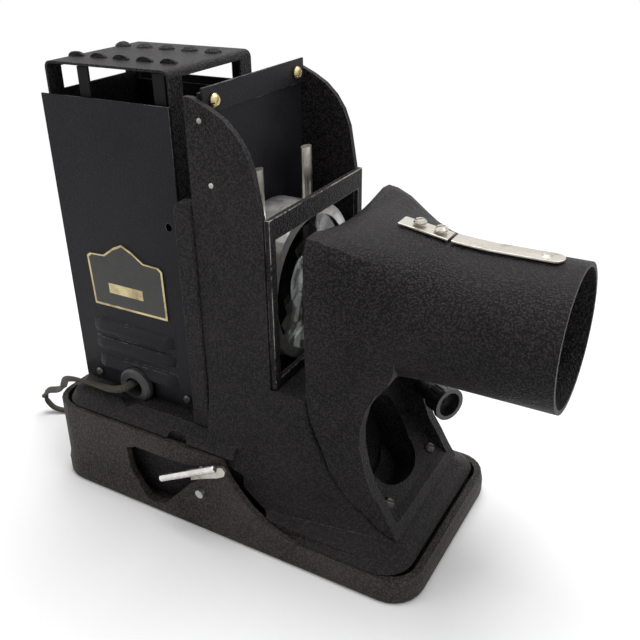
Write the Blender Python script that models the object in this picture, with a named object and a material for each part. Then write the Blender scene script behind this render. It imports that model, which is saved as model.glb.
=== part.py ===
"""Small slide and filmstrip projector, modelled as separate rigid pieces.

Frame: +X is the way the snout points, +Y is the object's left side, +Z is up.
The origin is the centre of the base's footprint on the table. All sizes are in metres.
"""

import math

import bmesh
import bpy
from mathutils import Matrix, Vector

# Driving dimensions
BASE_REAR_X = -0.0960
BASE_FRONT_X = 0.0960
BASE_HALF_WIDTH = 0.0480
BASE_RIM_HEIGHT = 0.0420
BASE_FLOOR = 0.0030
BASE_WALL = 0.0040
BASE_REAR_RADIUS = 0.0160
BASE_FRONT_RADIUS = 0.0140
OPTICAL_HEIGHT = 0.1113
BODY_HALF_WIDTH = 0.0380
TOP_HEIGHT = 0.1980
SNOUT_END_X = 0.1349
SNOUT_RADIUS = 0.0281
BORE_RADIUS = 0.0262
GAP = 0.0003
HAIR = 0.0002
CUT_OVERSHOOT = 0.0200

# Base casting: height and inset of each level of its outer wall
BASE_LEVELS = [(0.0, 0.0008), (0.0015, 0.0), (0.0075, 0.0), (0.0116, 0.0009), (0.0420, 0.0013)]
RIM_SWEEP = [(0.0066, 0.0423), (0.0082, 0.0375), (0.0103, 0.0335), (0.0150, 0.0273), (0.0208, 0.0214),
             (0.0267, 0.0173), (0.0356, 0.0135), (0.0454, 0.0118), (0.0640, 0.0116)]
RIM_GAP = 0.0006
LEVER_WINDOW = [(-0.0475, 0.0300), (-0.0420, 0.0325), (-0.0267, 0.0325), (-0.0125, 0.0333), (0.0030, 0.0368),
                (0.0062, 0.0350), (0.0040, 0.0315), (-0.0040, 0.0290), (-0.0108, 0.0235), (-0.0172, 0.0164),
                (-0.0262, 0.0066), (-0.0320, 0.0048), (-0.0370, 0.0056), (-0.0416, 0.0109), (-0.0464, 0.0190)]

# Tilt hinge and lever
HINGE_X = -0.0830
HINGE_Z = 0.0260
HINGE_PIN_RADIUS = 0.0020
HINGE_PIN_HALF = 0.0456
PIVOT_X = -0.0048
PIVOT_Z = 0.0212
PIVOT_RADIUS = 0.0020
PIVOT_HEAD_Y = -0.0492
PIVOT_INNER_Y = -0.0402
CRANK_LENGTH = 0.0100
CRANK_ANGLE = math.radians(-10)
CRANK_PIN_RADIUS = 0.0018
LEVER_PLATE_OUTER_Y = -0.0436
LEVER_PLATE_INNER_Y = -0.0420
CRANK_PLATE_INNER_Y = -0.0400
CRANK_PIN_END_Y = -0.0370
LEVER_ARM = [(-0.0100, 0.0206), (-0.0083, 0.0165), (-0.0048, 0.0150), (-0.0010, 0.0165), (0.0004, 0.0206),
             (-0.0010, 0.0275), (-0.0020, 0.0322), (-0.0030, 0.0331), (-0.0072, 0.0319), (-0.0089, 0.0295)]
TONGUE = [(-0.0080, 0.0282), (-0.0050, 0.0297), (0.0005, 0.0322), (0.0065, 0.0346), (0.0102, 0.0369),
          (0.0110, 0.0392), (0.0094, 0.0410), (0.0065, 0.0404), (-0.0005, 0.0362), (-0.0070, 0.0326),
          (-0.0084, 0.0302)]
JOGGLE = [(-0.0076, 0.0288), (-0.0053, 0.0300), (-0.0030, 0.0317), (-0.0026, 0.0323), (-0.0033, 0.0327),
          (-0.0068, 0.0315), (-0.0079, 0.0300)]
TONGUE_OUTER_Y = -0.0496
TONGUE_INNER_Y = -0.0480
ROD_RADIUS = 0.00165
ROD_Y = -0.05155
ROD_REAR = (-0.0235, 0.0248)
ROD_FRONT = (0.0075, 0.0415)
ROD_HOLE_RADIUS = 0.0006
ROD_HOLE_DEPTH = 0.0030

# Lower body casting
NEST_HALF = 0.0433
NEST_REAR_X = -0.0880
NEST_FRONT_X = 0.0840
NEST_BOTTOM = 0.0045
NEST_TOP = 0.0446
NEST_FRONT_TOP = 0.0150
NEST_SPLIT_X = 0.0100
SHOULDER_LEVELS = [(0.0430, 0.0452, -0.0880), (0.0465, 0.0428, -0.0868), (0.0495, 0.0380, -0.0845)]
SHOULDER_FRONT_X = 0.0120
# height, half width at the back, rear end, front end, half width at the front, front corner radius
HULL_LEVELS = [(0.0122, 0.0466, -0.0028, 0.0905, 0.0462, 0.0130), (0.0150, 0.0464, -0.0028, 0.0888, 0.0430, 0.0120),
               (0.0193, 0.0460, -0.0028, 0.0836, 0.0335, 0.0040), (0.0218, 0.0458, -0.0028, 0.0760, 0.0333, 0.0030),
               (0.0292, 0.0453, -0.0028, 0.0668, 0.0340, 0.0030), (0.0351, 0.0449, -0.0028, 0.0604, 0.0350, 0.0030),
               (0.0451, 0.0436, -0.0028, 0.0540, 0.0360, 0.0030), (0.0500, 0.0424, -0.0028, 0.0518, 0.0363, 0.0030),
               (0.0650, 0.0395, -0.0028, 0.0460, 0.0372, 0.0030), (0.0790, 0.0380, -0.0028, 0.0443, 0.0380, 0.0020)]
SIDE_PLATE_WALL = 0.0025
ARCH = [(-0.0030, 0.0550), (0.0282, 0.0550), (0.0282, 0.1500), (0.0270, 0.1570), (0.0252, 0.1680), (0.0225, 0.1750),
        (0.0188, 0.1805), (0.0140, 0.1850), (0.0080, 0.1885), (0.0000, 0.1920), (-0.0030, 0.1920)]
CHAMBER_REAR_X = 0.0044
CHAMBER_FRONT_X = 0.0282
CHAMBER_FLOOR = 0.0740
CRADLE_HALF = 0.0200
CRADLE_REAR_X = 0.0100
CRADLE_FRONT_X = 0.0240
CRADLE_TOP = 0.0860
CHUTE_CENTRE = (0.0655, 0.0340)
CHUTE_HALF_WIDTH = 0.0165
CHUTE_HALF_LENGTH = 0.0105
CHUTE_DEPTH = 0.0140
CHUTE_SLOPE = math.radians(42)
NOTCH_X = -0.0180
NOTCH_RADIUS = 0.0055
CRANK_POCKET = [(-0.0500, -0.0100), (0.0150, -0.0100), (0.0150, 0.0340), (0.0060, 0.0400), (-0.0500, 0.0400)]
CRANK_POCKET_DEPTH_Y = -0.0396
# Hollows of the body casting, open underneath: low corner and high corner
BODY_HOLLOWS = [((-0.0770, -0.0330, -0.0200), (0.0440, 0.0398, 0.0395)),
                ((0.0012, -0.0328, 0.0385), (0.0400, 0.0330, 0.0700))]
CRANK_SLOT_DEPTH_Y = -0.0366
CRANK_SLOT_HALF_LENGTH = 0.0050
CRANK_SLOT_HALF_HEIGHT = 0.0025
TAB_X = -0.0505
TAB_HALF = 0.0110
TAB_TOP = 0.0665
TAB_OUTER_Y = -0.0266
TAB_INNER_Y = -0.0240
GROMMET_Z = 0.0547
GROMMET_BORE = 0.0048
GROMMET_NECK = 0.0064
GROMMET_RADIUS = 0.0088
GROMMET_RIM_Y = -0.0338
GROMMET_NECK_Y = -0.0300
GROMMET_BACK_Y = -0.0212
GROMMET_BACK_RADIUS = 0.0078

# Guide rails beside the lamphouse
RAIL_REAR_X = -0.0125
RAIL_FRONT_X = -0.0033
RAIL_OUTER = 0.0388
RAIL_INNER = 0.0330
RAIL_BOTTOM = 0.0498
RAIL_TOP = 0.1525

# Partition at the back of the chamber
PARTITION_X = 0.0012
PARTITION_THICK = 0.0012
PARTITION_HALF = 0.0352
PARTITION_BOTTOM = 0.0793
PARTITION_TOP = 0.1930
PARTITION_APERTURE = 0.0220
STRIP_TOP = 0.1948
STRIP_BOTTOM = 0.1850
STRIP_THICK = 0.0010
SCREW_RADIUS = 0.0026
SCREW_HEAD = 0.0016
PARTITION_SCREW_Y = 0.0290
PARTITION_SCREW_Z = 0.1896

# Gate frame
FRAME_REAR_X = 0.0285
FRAME_FRONT_X = 0.0308
FRAME_HALF = 0.0372
FRAME_TOP = 0.1506
FRAME_BAR = 0.0086
FRAME_POST = 0.0038
FRAME_BOTTOM_BAR = 0.0040
FRAME_BOTTOM = 0.0793

# Nose casting: station, half width, top at centre, top at edge, blend from box to round
NOSE_REAR_X = 0.0446
NOSE_STATIONS = [(0.0446, 0.0380, 0.1420, 0.1500, 0.0), (0.0490, 0.0378, 0.1440, 0.1494, 0.03),
                 (0.0560, 0.0368, 0.1448, 0.1478, 0.15), (0.0640, 0.0348, 0.1440, 0.1450, 0.38),
                 (0.0720, 0.0322, 0.1430, 0.1430, 0.65), (0.0800, 0.0300, 0.1416, 0.1416, 0.88),
                 (0.0880, 0.0285, 0.1402, 0.1402, 1.0), (0.1000, 0.0281, 0.1394, 0.1394, 1.0),
                 (0.1349, 0.0281, 0.1394, 0.1394, 1.0)]
NOSE_BOX_BOTTOM = 0.0830
NOSE_UNDERSIDE_share = 2.2
# station, height of the underside, half width
NOSE_FOOT_STATIONS = [(0.0447, 0.0796, 0.0379), (0.0462, 0.0690, 0.0373), (0.0500, 0.0588, 0.0368),
                      (0.0542, 0.0458, 0.0359), (0.0606, 0.0358, 0.0349), (0.0670, 0.0299, 0.0339),
                      (0.0762, 0.0225, 0.0332), (0.0835, 0.0200, 0.0330)]
NOSE_FOOT_TOP_HALF = [0.0379, 0.0377, 0.0370, 0.0358, 0.0338, 0.0312, 0.0284, 0.0268]
NOSE_FOOT_TOP = 0.1000
CHEEK_EDGE = [(0.0900, 0.0150), (0.0835, 0.0195), (0.0795, 0.0262), (0.0755, 0.0335), (0.0712, 0.0400),
              (0.0677, 0.0500), (0.0657, 0.0600), (0.0656, 0.0690), (0.0676, 0.0780), (0.0706, 0.0842),
              (0.0748, 0.0890), (0.0765, 0.0940), (0.0768, 0.1020)]
CHEEK_CUT_FRONT_X = 0.1500
CHEEK_CUT_LOW = 0.0050
THROAT = [(0.0880, 0.0232), (0.0835, 0.0232), (0.0770, 0.0255), (0.0690, 0.0318), (0.0620, 0.0385),
          (0.0572, 0.0465), (0.0556, 0.0560), (0.0560, 0.0660), (0.0600, 0.0740), (0.0680, 0.0800),
          (0.0880, 0.0815)]
THROAT_HALF = 0.0275
KNOB_FACE = (0.0825, 0.0215, 0.0546)
KNOB_AXIS = (0.8829, -0.4695, 0.0)
KNOB_RADIUS = 0.0076
KNOB_BACK_RADIUS = 0.0064
KNOB_LENGTH = 0.0098
KNOB_CUP_RADIUS = 0.0056
KNOB_CUP_DEPTH = 0.0045
KNOB_BORE = 0.0018
KNOB_SHAFT_RADIUS = 0.0015
KNOB_SHAFT_BACK = 0.0190
KNOB_GROOVES = 12
KNOB_GROOVE_DEPTH = 0.0007
BOSS_RADIUS = 0.0044
BOSS_FRONT = 0.0104
BOSS_BACK = 0.0195
NOSE_SCREW_Y = 0.0220
NOSE_SCREW_share = 0.10

# Focus spring on the snout
SPRING_HALF = 0.0040
SPRING_THICK = 0.0008
SPRING_REAR_X = 0.0660
SPRING_SPLIT_X = 0.0868
SPRING_FRONT_X = 0.1275
SPRING_LIFT = 0.0003
SPRING_POINTS = [(0.0660, 0.1440), (0.0720, 0.1431), (0.0800, 0.1418), (0.0860, 0.1408)]
SPRING_FREE_POINTS = [(0.0872, 0.1407), (0.0940, 0.1401), (0.1010, 0.1397), (0.1235, 0.1397)]
SPRING_SCREW_X = (0.0735, 0.0820)
SPRING_SCREW_Z = (0.1440, 0.1426)
FOCUS_PIN_X = 0.1210
FOCUS_PIN_RADIUS = 0.0013
FOCUS_PIN_HOLE = 0.0018
FOCUS_PIN_LOW = 0.1377
FOCUS_PIN_HEAD = 0.0022
FOCUS_PIN_TOP = 0.1416
SPRING_HINGE_X = 0.0872
SPRING_HINGE_Z = 0.1400

# Lamphouse
LAMP_REAR_X = -0.0815
LAMP_FRONT_X = -0.0174
LAMP_HALF = 0.0275
SHEET = 0.0010
LAMP_BOTTOM = 0.0499
SHELL_BEND = 0.0030
WINDOW_HALF = 0.0195
WINDOW_LOW = 0.1855
WINDOW_HIGH = 0.1958
BEAM_RADIUS = 0.0220
PANEL_REAR_X = -0.0845
PANEL_FRONT_X = -0.0176
PANEL_OUTER_Y = 0.0290
PANEL_TOP = 0.1850
PANEL_REAR_BEND = 0.0120
VENT_COUNT = 5
VENT_PITCH = 0.0122
VENT_FIRST_X = -0.0761
VENT_RADIUS = 0.0043
VENT_HEIGHT = 0.0020
VENT_Y = 0.0150
SIDE_VENT_Z = (0.0625, 0.0727, 0.0815)
SIDE_VENT_REAR_X = -0.0745
SIDE_VENT_FRONT_X = -0.0265
SIDE_VENT_RISE = 0.0062
SIDE_VENT_BULGE = 0.0026
SIDE_VENT_SLOT = 0.0022
PANEL_HOLE = (-0.0235, 0.1361)
PANEL_HOLE_RADIUS = 0.0017
PANEL_SCREWS = ((-0.0755, 0.0540), (-0.0228, 0.0540))
LINER_POSTS = ((-0.0648, -0.0590), (-0.0262, -0.0204))
LINER_OUTER_Y = 0.0264
LINER_TOP = 0.1966
LINER_BOTTOM = 0.0510
LINER_NOTCH_TOP = 0.0690

# Lamp and optics
LAMP_X = -0.0480
SOCKET_RADIUS = 0.0115
SOCKET_BOTTOM = 0.0519
SOCKET_TOP = 0.0700
SOCKET_FLANGE_RADIUS = 0.0150
SOCKET_FLANGE = 0.0018
LAMP_BASE_RADIUS = 0.0075
LAMP_BASE_LOW = 0.0570
LAMP_BASE_TOP = 0.0800
LAMP_SOCKET_BORE = 0.0078
BULB_RADIUS = 0.0127
BULB_NECK_RADIUS = 0.0062
BULB_LOW = 0.0803
BULB_SHOULDER = 0.0900
BULB_TOP = 0.1400
REFLECTOR_X = -0.0720
REFLECTOR_RADIUS = 0.0180
REFLECTOR_SAG = 0.0055
REFLECTOR_THICK = 0.0014
REFLECTOR_POST_HALF = 0.0040
REFLECTOR_POST_REAR_X = -0.0768
REFLECTOR_POST_FRONT_X = -0.0748
BARREL_RADIUS = 0.0330
BARREL_WALL = 0.0020
BARREL_REAR_X = 0.0068
BARREL_FRONT_X = 0.0272
BARREL_LIP = 0.0035
LENS_RADIUS = 0.0292
LENS_EDGE = 0.0030
LENS_SAG = 0.0068
REAR_LENS_X = 0.0090
FRONT_LENS_X = 0.0222
POST_X = 0.0140
POST_Y = 0.0185
POST_TOP = 0.1625
POST_HALF_WIDTH = 0.0032
POST_HALF_DEPTH = 0.0019
POST_HOOK = 0.0006

# Lamp lead: out of the grommet, over the rear rim, a fold on the table, then away behind the base
CORD_DIAMETER = 0.0037
CORD_REST = 0.00148
CORD_POINTS = 80
CORD_ROUTE = [(-0.0519, -0.0250, 0.0561), (-0.0520, -0.0335, 0.0560), (-0.0541, -0.0380, 0.0552),
              (-0.0600, -0.0392, 0.0540), (-0.0690, -0.0383, 0.0529), (-0.0790, -0.0377, 0.0519),
              (-0.0875, -0.0366, 0.0500), (-0.0960, -0.0335, 0.0456), (-0.1045, -0.0280, 0.0378),
              (-0.1140, -0.0215, 0.0288), (-0.1250, -0.0165, 0.0215), (-0.1350, -0.0140, 0.0165),
              (-0.1410, -0.0125, 0.0100), (-0.1375, -0.0110, 0.0032), (-0.1310, -0.0082, 0.00148),
              (-0.1272, -0.0020, 0.00148), (-0.1250, 0.0070, 0.00148), (-0.1205, 0.0180, 0.00148),
              (-0.1140, 0.0310, 0.00148), (-0.1060, 0.0440, 0.00148), (-0.0960, 0.0570, 0.00148),
              (-0.0820, 0.0670, 0.00148), (-0.0660, 0.0708, 0.00148), (-0.0545, 0.0715, 0.00148)]
COIL_X = -0.0400
COIL_Y = 0.1040
COIL_OUTER = 0.0325
COIL_PITCH = 0.0042
COIL_DIP = 0.0010
COIL_TURNS = 5.5
COIL_STEPS = 24
PLUG_PROFILE = [(0.0000, 0.0), (0.0000, 0.0020), (0.0140, 0.0029), (0.0165, 0.0048), (0.0200, 0.0054),
                (0.0350, 0.0054), (0.0370, 0.0050), (0.0370, 0.0)]
PRONG_SPREAD = 0.0032
PRONG_HALF_WIDTH = 0.0022
PRONG_THICK = 0.0014
PRONG_LENGTH = 0.0150

SEGMENTS = 40
SMALL_SEGMENTS = 20
CORNER_STEPS = 6


def clear_scene():
    for item in list(bpy.data.objects):
        bpy.data.objects.remove(item)


def make_material(name, colour, roughness, metallic=0.0, alpha=1.0):
    material = bpy.data.materials.get(name)
    if material is None:
        material = bpy.data.materials.new(name)
        material.use_nodes = True
        shader = material.node_tree.nodes["Principled BSDF"]
        shader.inputs["Base Color"].default_value = (*colour, 1.0)
        shader.inputs["Roughness"].default_value = roughness
        shader.inputs["Metallic"].default_value = metallic
        shader.inputs["Alpha"].default_value = alpha
    return material


def wrinkle_black():
    return make_material("wrinkle_black", (0.030, 0.029, 0.031), 0.62)


def base_black():
    return make_material("base_black", (0.040, 0.037, 0.035), 0.60)


def satin_black():
    return make_material("satin_black", (0.020, 0.020, 0.022), 0.45)


def inner_black():
    return make_material("inner_black", (0.015, 0.015, 0.016), 0.60)


def chrome():
    return make_material("chrome", (0.78, 0.78, 0.78), 0.15, 1.0)


def nickel():
    return make_material("nickel", (0.62, 0.60, 0.55), 0.30, 1.0)


def aluminium():
    return make_material("aluminium", (0.60, 0.60, 0.60), 0.35, 1.0)


def brass():
    return make_material("brass", (0.60, 0.48, 0.25), 0.30, 1.0)


def steel():
    return make_material("steel", (0.50, 0.50, 0.50), 0.35, 1.0)


def knob_black():
    return make_material("knob_black", (0.020, 0.020, 0.020), 0.30)


def glass():
    return make_material("glass", (0.90, 0.94, 0.92), 0.05, 0.0, 0.35)


def mirror():
    return make_material("mirror", (0.85, 0.85, 0.87), 0.08, 1.0)


def ceramic():
    return make_material("ceramic", (0.75, 0.72, 0.66), 0.50)


def rubber():
    return make_material("grommet_black", (0.035, 0.035, 0.036), 0.50)


def finish(name, bm, material, smooth=False):
    bmesh.ops.remove_doubles(bm, verts=bm.verts, dist=0.000001)
    bmesh.ops.recalc_face_normals(bm, faces=bm.faces)
    mesh = bpy.data.meshes.new(name)
    bm.to_mesh(mesh)
    bm.free()
    item = bpy.data.objects.new(name, mesh)
    bpy.context.scene.collection.objects.link(item)
    if material is not None:
        mesh.materials.append(material)
    if smooth:
        mesh.shade_smooth()
        mesh.set_sharp_from_angle(angle=math.radians(35))
    return item


def loft(name, rings, material=None, smooth=False, twisted=False):
    """Close a list of rings, each with the same number of points, into a solid. A twisted one gets flat triangles."""
    bm = bmesh.new()
    rows = [[bm.verts.new(point) for point in ring] for ring in rings]
    count = len(rows[0])
    for low, high in zip(rows, rows[1:]):
        for index in range(count):
            after = (index + 1) % count
            bm.faces.new((low[index], low[after], high[after], high[index]))
    bm.faces.new(list(reversed(rows[0])))
    bm.faces.new(rows[-1])
    if twisted:
        bmesh.ops.triangulate(bm, faces=[face for face in bm.faces if len(face.verts) == 4])
    return finish(name, bm, material, smooth)


def prism_xz(name, points, low_y, high_y, material=None):
    """A side profile drawn in X and Z, carried across Y."""
    rings = [[(x, y, z) for x, z in points] for y in (low_y, high_y)]
    return loft(name, rings, material)


def box(name, low, high, material=None):
    points = [(low[0], low[2]), (high[0], low[2]), (high[0], high[2]), (low[0], high[2])]
    return prism_xz(name, points, low[1], high[1], material)


def turned(name, profile, place, axis, material=None, steps=SEGMENTS, smooth=True):
    """A closed profile of (distance along the axis, radius) points turned about the axis."""
    turn = Vector((0, 0, 1)).rotation_difference(Vector(axis).normalized()).to_matrix()
    centre = Vector(place)
    bm = bmesh.new()
    columns = []
    for along, radius in profile:
        if radius <= 0:
            columns.append([bm.verts.new(centre + turn @ Vector((0, 0, along)))])
            continue
        ring = []
        for index in range(steps):
            angle = math.tau * (index + 0.5) / steps
            ring.append(bm.verts.new(centre + turn @ Vector((radius * math.cos(angle), radius * math.sin(angle), along))))
        columns.append(ring)
    pairs = list(zip(columns, columns[1:]))
    if profile[0][1] > 0 and profile[-1][1] > 0:
        pairs.append((columns[-1], columns[0]))
    for first, second in pairs:
        if len(first) == 1 and len(second) == 1:
            continue
        for index in range(steps):
            after = (index + 1) % steps
            if len(first) == 1:
                bm.faces.new((first[0], second[index], second[after]))
            elif len(second) == 1:
                bm.faces.new((first[index], first[after], second[0]))
            else:
                bm.faces.new((first[index], first[after], second[after], second[index]))
    return finish(name, bm, material, smooth)


def rod(name, start, end, radius, material=None, steps=SMALL_SEGMENTS):
    length = (Vector(end) - Vector(start)).length
    profile = [(0, 0), (0, radius), (length, radius), (length, 0)]
    return turned(name, profile, start, Vector(end) - Vector(start), material, steps)


def combine(target, tool, operation):
    """Apply one exact Boolean to the target and remove the tool."""
    modifier = target.modifiers.new(operation.lower(), "BOOLEAN")
    modifier.operation = operation
    modifier.solver = "EXACT"
    modifier.object = tool
    bpy.context.view_layer.update()
    shape = bpy.data.meshes.new_from_object(target.evaluated_get(bpy.context.evaluated_depsgraph_get()))
    target.modifiers.clear()
    old = target.data
    target.data = shape
    shape.name = target.name
    bpy.data.meshes.remove(old)
    bpy.data.objects.remove(tool)
    return target


def cut(target, tool):
    return combine(target, tool, "DIFFERENCE")


def join(target, tool):
    return combine(target, tool, "UNION")


def tidy(item, smooth=True):
    """Merge stray doubles left by the cuts and shade the result."""
    bm = bmesh.new()
    bm.from_mesh(item.data)
    bmesh.ops.remove_doubles(bm, verts=bm.verts, dist=0.00002)
    bmesh.ops.dissolve_degenerate(bm, edges=bm.edges, dist=0.00001)
    bm.to_mesh(item.data)
    bm.free()
    if smooth:
        item.data.shade_smooth()
        item.data.set_sharp_from_angle(angle=math.radians(35))
    return item


def rounded_plan(rear_x, front_x, rear_half, front_half, rear_radius, front_radius, height, steps=CORNER_STEPS):
    """A plan outline with rounded corners, anticlockwise seen from above."""
    corners = [(rear_x, -rear_half, rear_radius, 180), (front_x, -front_half, front_radius, 270),
               (front_x, front_half, front_radius, 0), (rear_x, rear_half, rear_radius, 90)]
    points = []
    for x, y, radius, start in corners:
        centre_x = x + radius if start in (180, 90) else x - radius
        centre_y = y + radius if start in (180, 270) else y - radius
        for index in range(steps + 1):
            angle = math.radians(start + 90 * index / steps)
            points.append((centre_x + radius * math.cos(angle), centre_y + radius * math.sin(angle), height))
    return points


def base_outline(height, inset):
    return rounded_plan(BASE_REAR_X + inset, BASE_FRONT_X - inset, BASE_HALF_WIDTH - inset, BASE_HALF_WIDTH - inset,
                        BASE_REAR_RADIUS - inset, BASE_FRONT_RADIUS - inset, height)


def sweep_tool(name, offset):
    """The space above the base's swept rim, moved out by the offset."""
    points = [(x - offset, z - offset / 2) for x, z in RIM_SWEEP]
    far_x = BASE_FRONT_X + CUT_OVERSHOOT
    top = BASE_RIM_HEIGHT + CUT_OVERSHOOT
    points += [(far_x, points[-1][1]), (far_x, top), (points[0][0], top)]
    half = BASE_HALF_WIDTH + CUT_OVERSHOOT
    return prism_xz(name, points, -half, half)


def build_base():
    item = loft("base_casting", [base_outline(z, inset) for z, inset in BASE_LEVELS], base_black(), twisted=True)
    inner = [base_outline(z, BASE_WALL) for z in (BASE_FLOOR, BASE_RIM_HEIGHT + CUT_OVERSHOOT)]
    cut(item, loft("inside", inner))
    cut(item, sweep_tool("sweep", 0))
    wall = BASE_HALF_WIDTH - 2 * BASE_WALL
    cut(item, prism_xz("window", LEVER_WINDOW, -BASE_HALF_WIDTH - CUT_OVERSHOOT, -wall))
    reach = HINGE_PIN_HALF + GAP
    cut(item, rod("hinge_hole", (HINGE_X, -reach, HINGE_Z), (HINGE_X, reach, HINGE_Z), HINGE_PIN_RADIUS + GAP))
    cut(item, rod("pivot_hole", (PIVOT_X, -BASE_HALF_WIDTH - CUT_OVERSHOOT, PIVOT_Z), (PIVOT_X, -wall, PIVOT_Z),
                  PIVOT_RADIUS + GAP))
    tidy(item)
    rod("tilt_pin", (HINGE_X, -HINGE_PIN_HALF, HINGE_Z), (HINGE_X, HINGE_PIN_HALF, HINGE_Z), HINGE_PIN_RADIUS, steel())


def crank_point():
    return (PIVOT_X + CRANK_LENGTH * math.cos(CRANK_ANGLE), PIVOT_Z + CRANK_LENGTH * math.sin(CRANK_ANGLE))


def build_lever():
    arm = prism_xz("tilt_lever", LEVER_ARM, LEVER_PLATE_OUTER_Y, LEVER_PLATE_INNER_Y, nickel())
    join(arm, prism_xz("joggle", JOGGLE, TONGUE_OUTER_Y + HAIR, LEVER_PLATE_INNER_Y - HAIR))
    join(arm, prism_xz("tongue", TONGUE, TONGUE_OUTER_Y, TONGUE_INNER_Y))
    cut(arm, rod("hub", (PIVOT_X, LEVER_PLATE_OUTER_Y - CUT_OVERSHOOT, PIVOT_Z), (PIVOT_X, 0, PIVOT_Z),
                 PIVOT_RADIUS + GAP))
    tidy(arm)
    start = (ROD_REAR[0], ROD_Y, ROD_REAR[1])
    end = (ROD_FRONT[0], ROD_Y, ROD_FRONT[1])
    length = (Vector(end) - Vector(start)).length
    edge = ROD_RADIUS / 4
    profile = [(0, 0), (0, ROD_RADIUS - edge), (edge, ROD_RADIUS), (length - edge, ROD_RADIUS), (length, ROD_RADIUS - edge),
               (length, ROD_HOLE_RADIUS), (length - ROD_HOLE_DEPTH, ROD_HOLE_RADIUS), (length - ROD_HOLE_DEPTH, 0)]
    turned("lever_rod", profile, start, Vector(end) - Vector(start), chrome(), SMALL_SEGMENTS)
    crank_x, crank_z = crank_point()
    turn = math.pi / 12
    outline = []
    for centre, radius, first in ((crank_point(), CRANK_PIN_RADIUS + 2 * SHEET, -math.pi / 2),
                                  ((PIVOT_X, PIVOT_Z), PIVOT_RADIUS + 2 * SHEET, math.pi / 2)):
        for index in range(13):
            angle = CRANK_ANGLE + first + turn * index
            outline.append((centre[0] + radius * math.cos(angle), centre[1] + radius * math.sin(angle)))
    shaft = rod("lift_crank", (PIVOT_X, PIVOT_HEAD_Y, PIVOT_Z), (PIVOT_X, PIVOT_INNER_Y, PIVOT_Z), PIVOT_RADIUS, steel())
    join(shaft, prism_xz("web", outline, LEVER_PLATE_INNER_Y + GAP, CRANK_PLATE_INNER_Y))
    join(shaft, rod("crank_pin", (crank_x, LEVER_PLATE_INNER_Y + 2 * GAP, crank_z), (crank_x, CRANK_PIN_END_Y, crank_z),
                    CRANK_PIN_RADIUS))
    tidy(shaft)


def hull_outline(level):
    height, rear_half, rear_x, front_x, front_half, radius = level
    outline = rounded_plan(rear_x, front_x, rear_half, front_half, SHEET, radius, height)
    return outline


def side_plate(name, side):
    outer = side * BODY_HALF_WIDTH
    inner = side * (BODY_HALF_WIDTH - SIDE_PLATE_WALL)
    return prism_xz(name, ARCH, min(outer, inner), max(outer, inner))


def ellipse_tool(name, half_width, half_length, depth_down, depth_up):
    """An elliptical cutter standing square to the sloping foot plate."""
    centre = Vector((CHUTE_CENTRE[0], 0, CHUTE_CENTRE[1]))
    along = Vector((math.cos(CHUTE_SLOPE), 0, -math.sin(CHUTE_SLOPE)))
    normal = Vector((math.sin(CHUTE_SLOPE), 0, math.cos(CHUTE_SLOPE)))
    rings = []
    for depth in (-depth_down, depth_up):
        ring = []
        for index in range(SEGMENTS):
            angle = math.tau * index / SEGMENTS
            spot = centre + normal * depth + along * (half_length * math.cos(angle))
            ring.append((spot.x, half_width * math.sin(angle), spot.z))
        rings.append(ring)
    return loft(name, rings)


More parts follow.
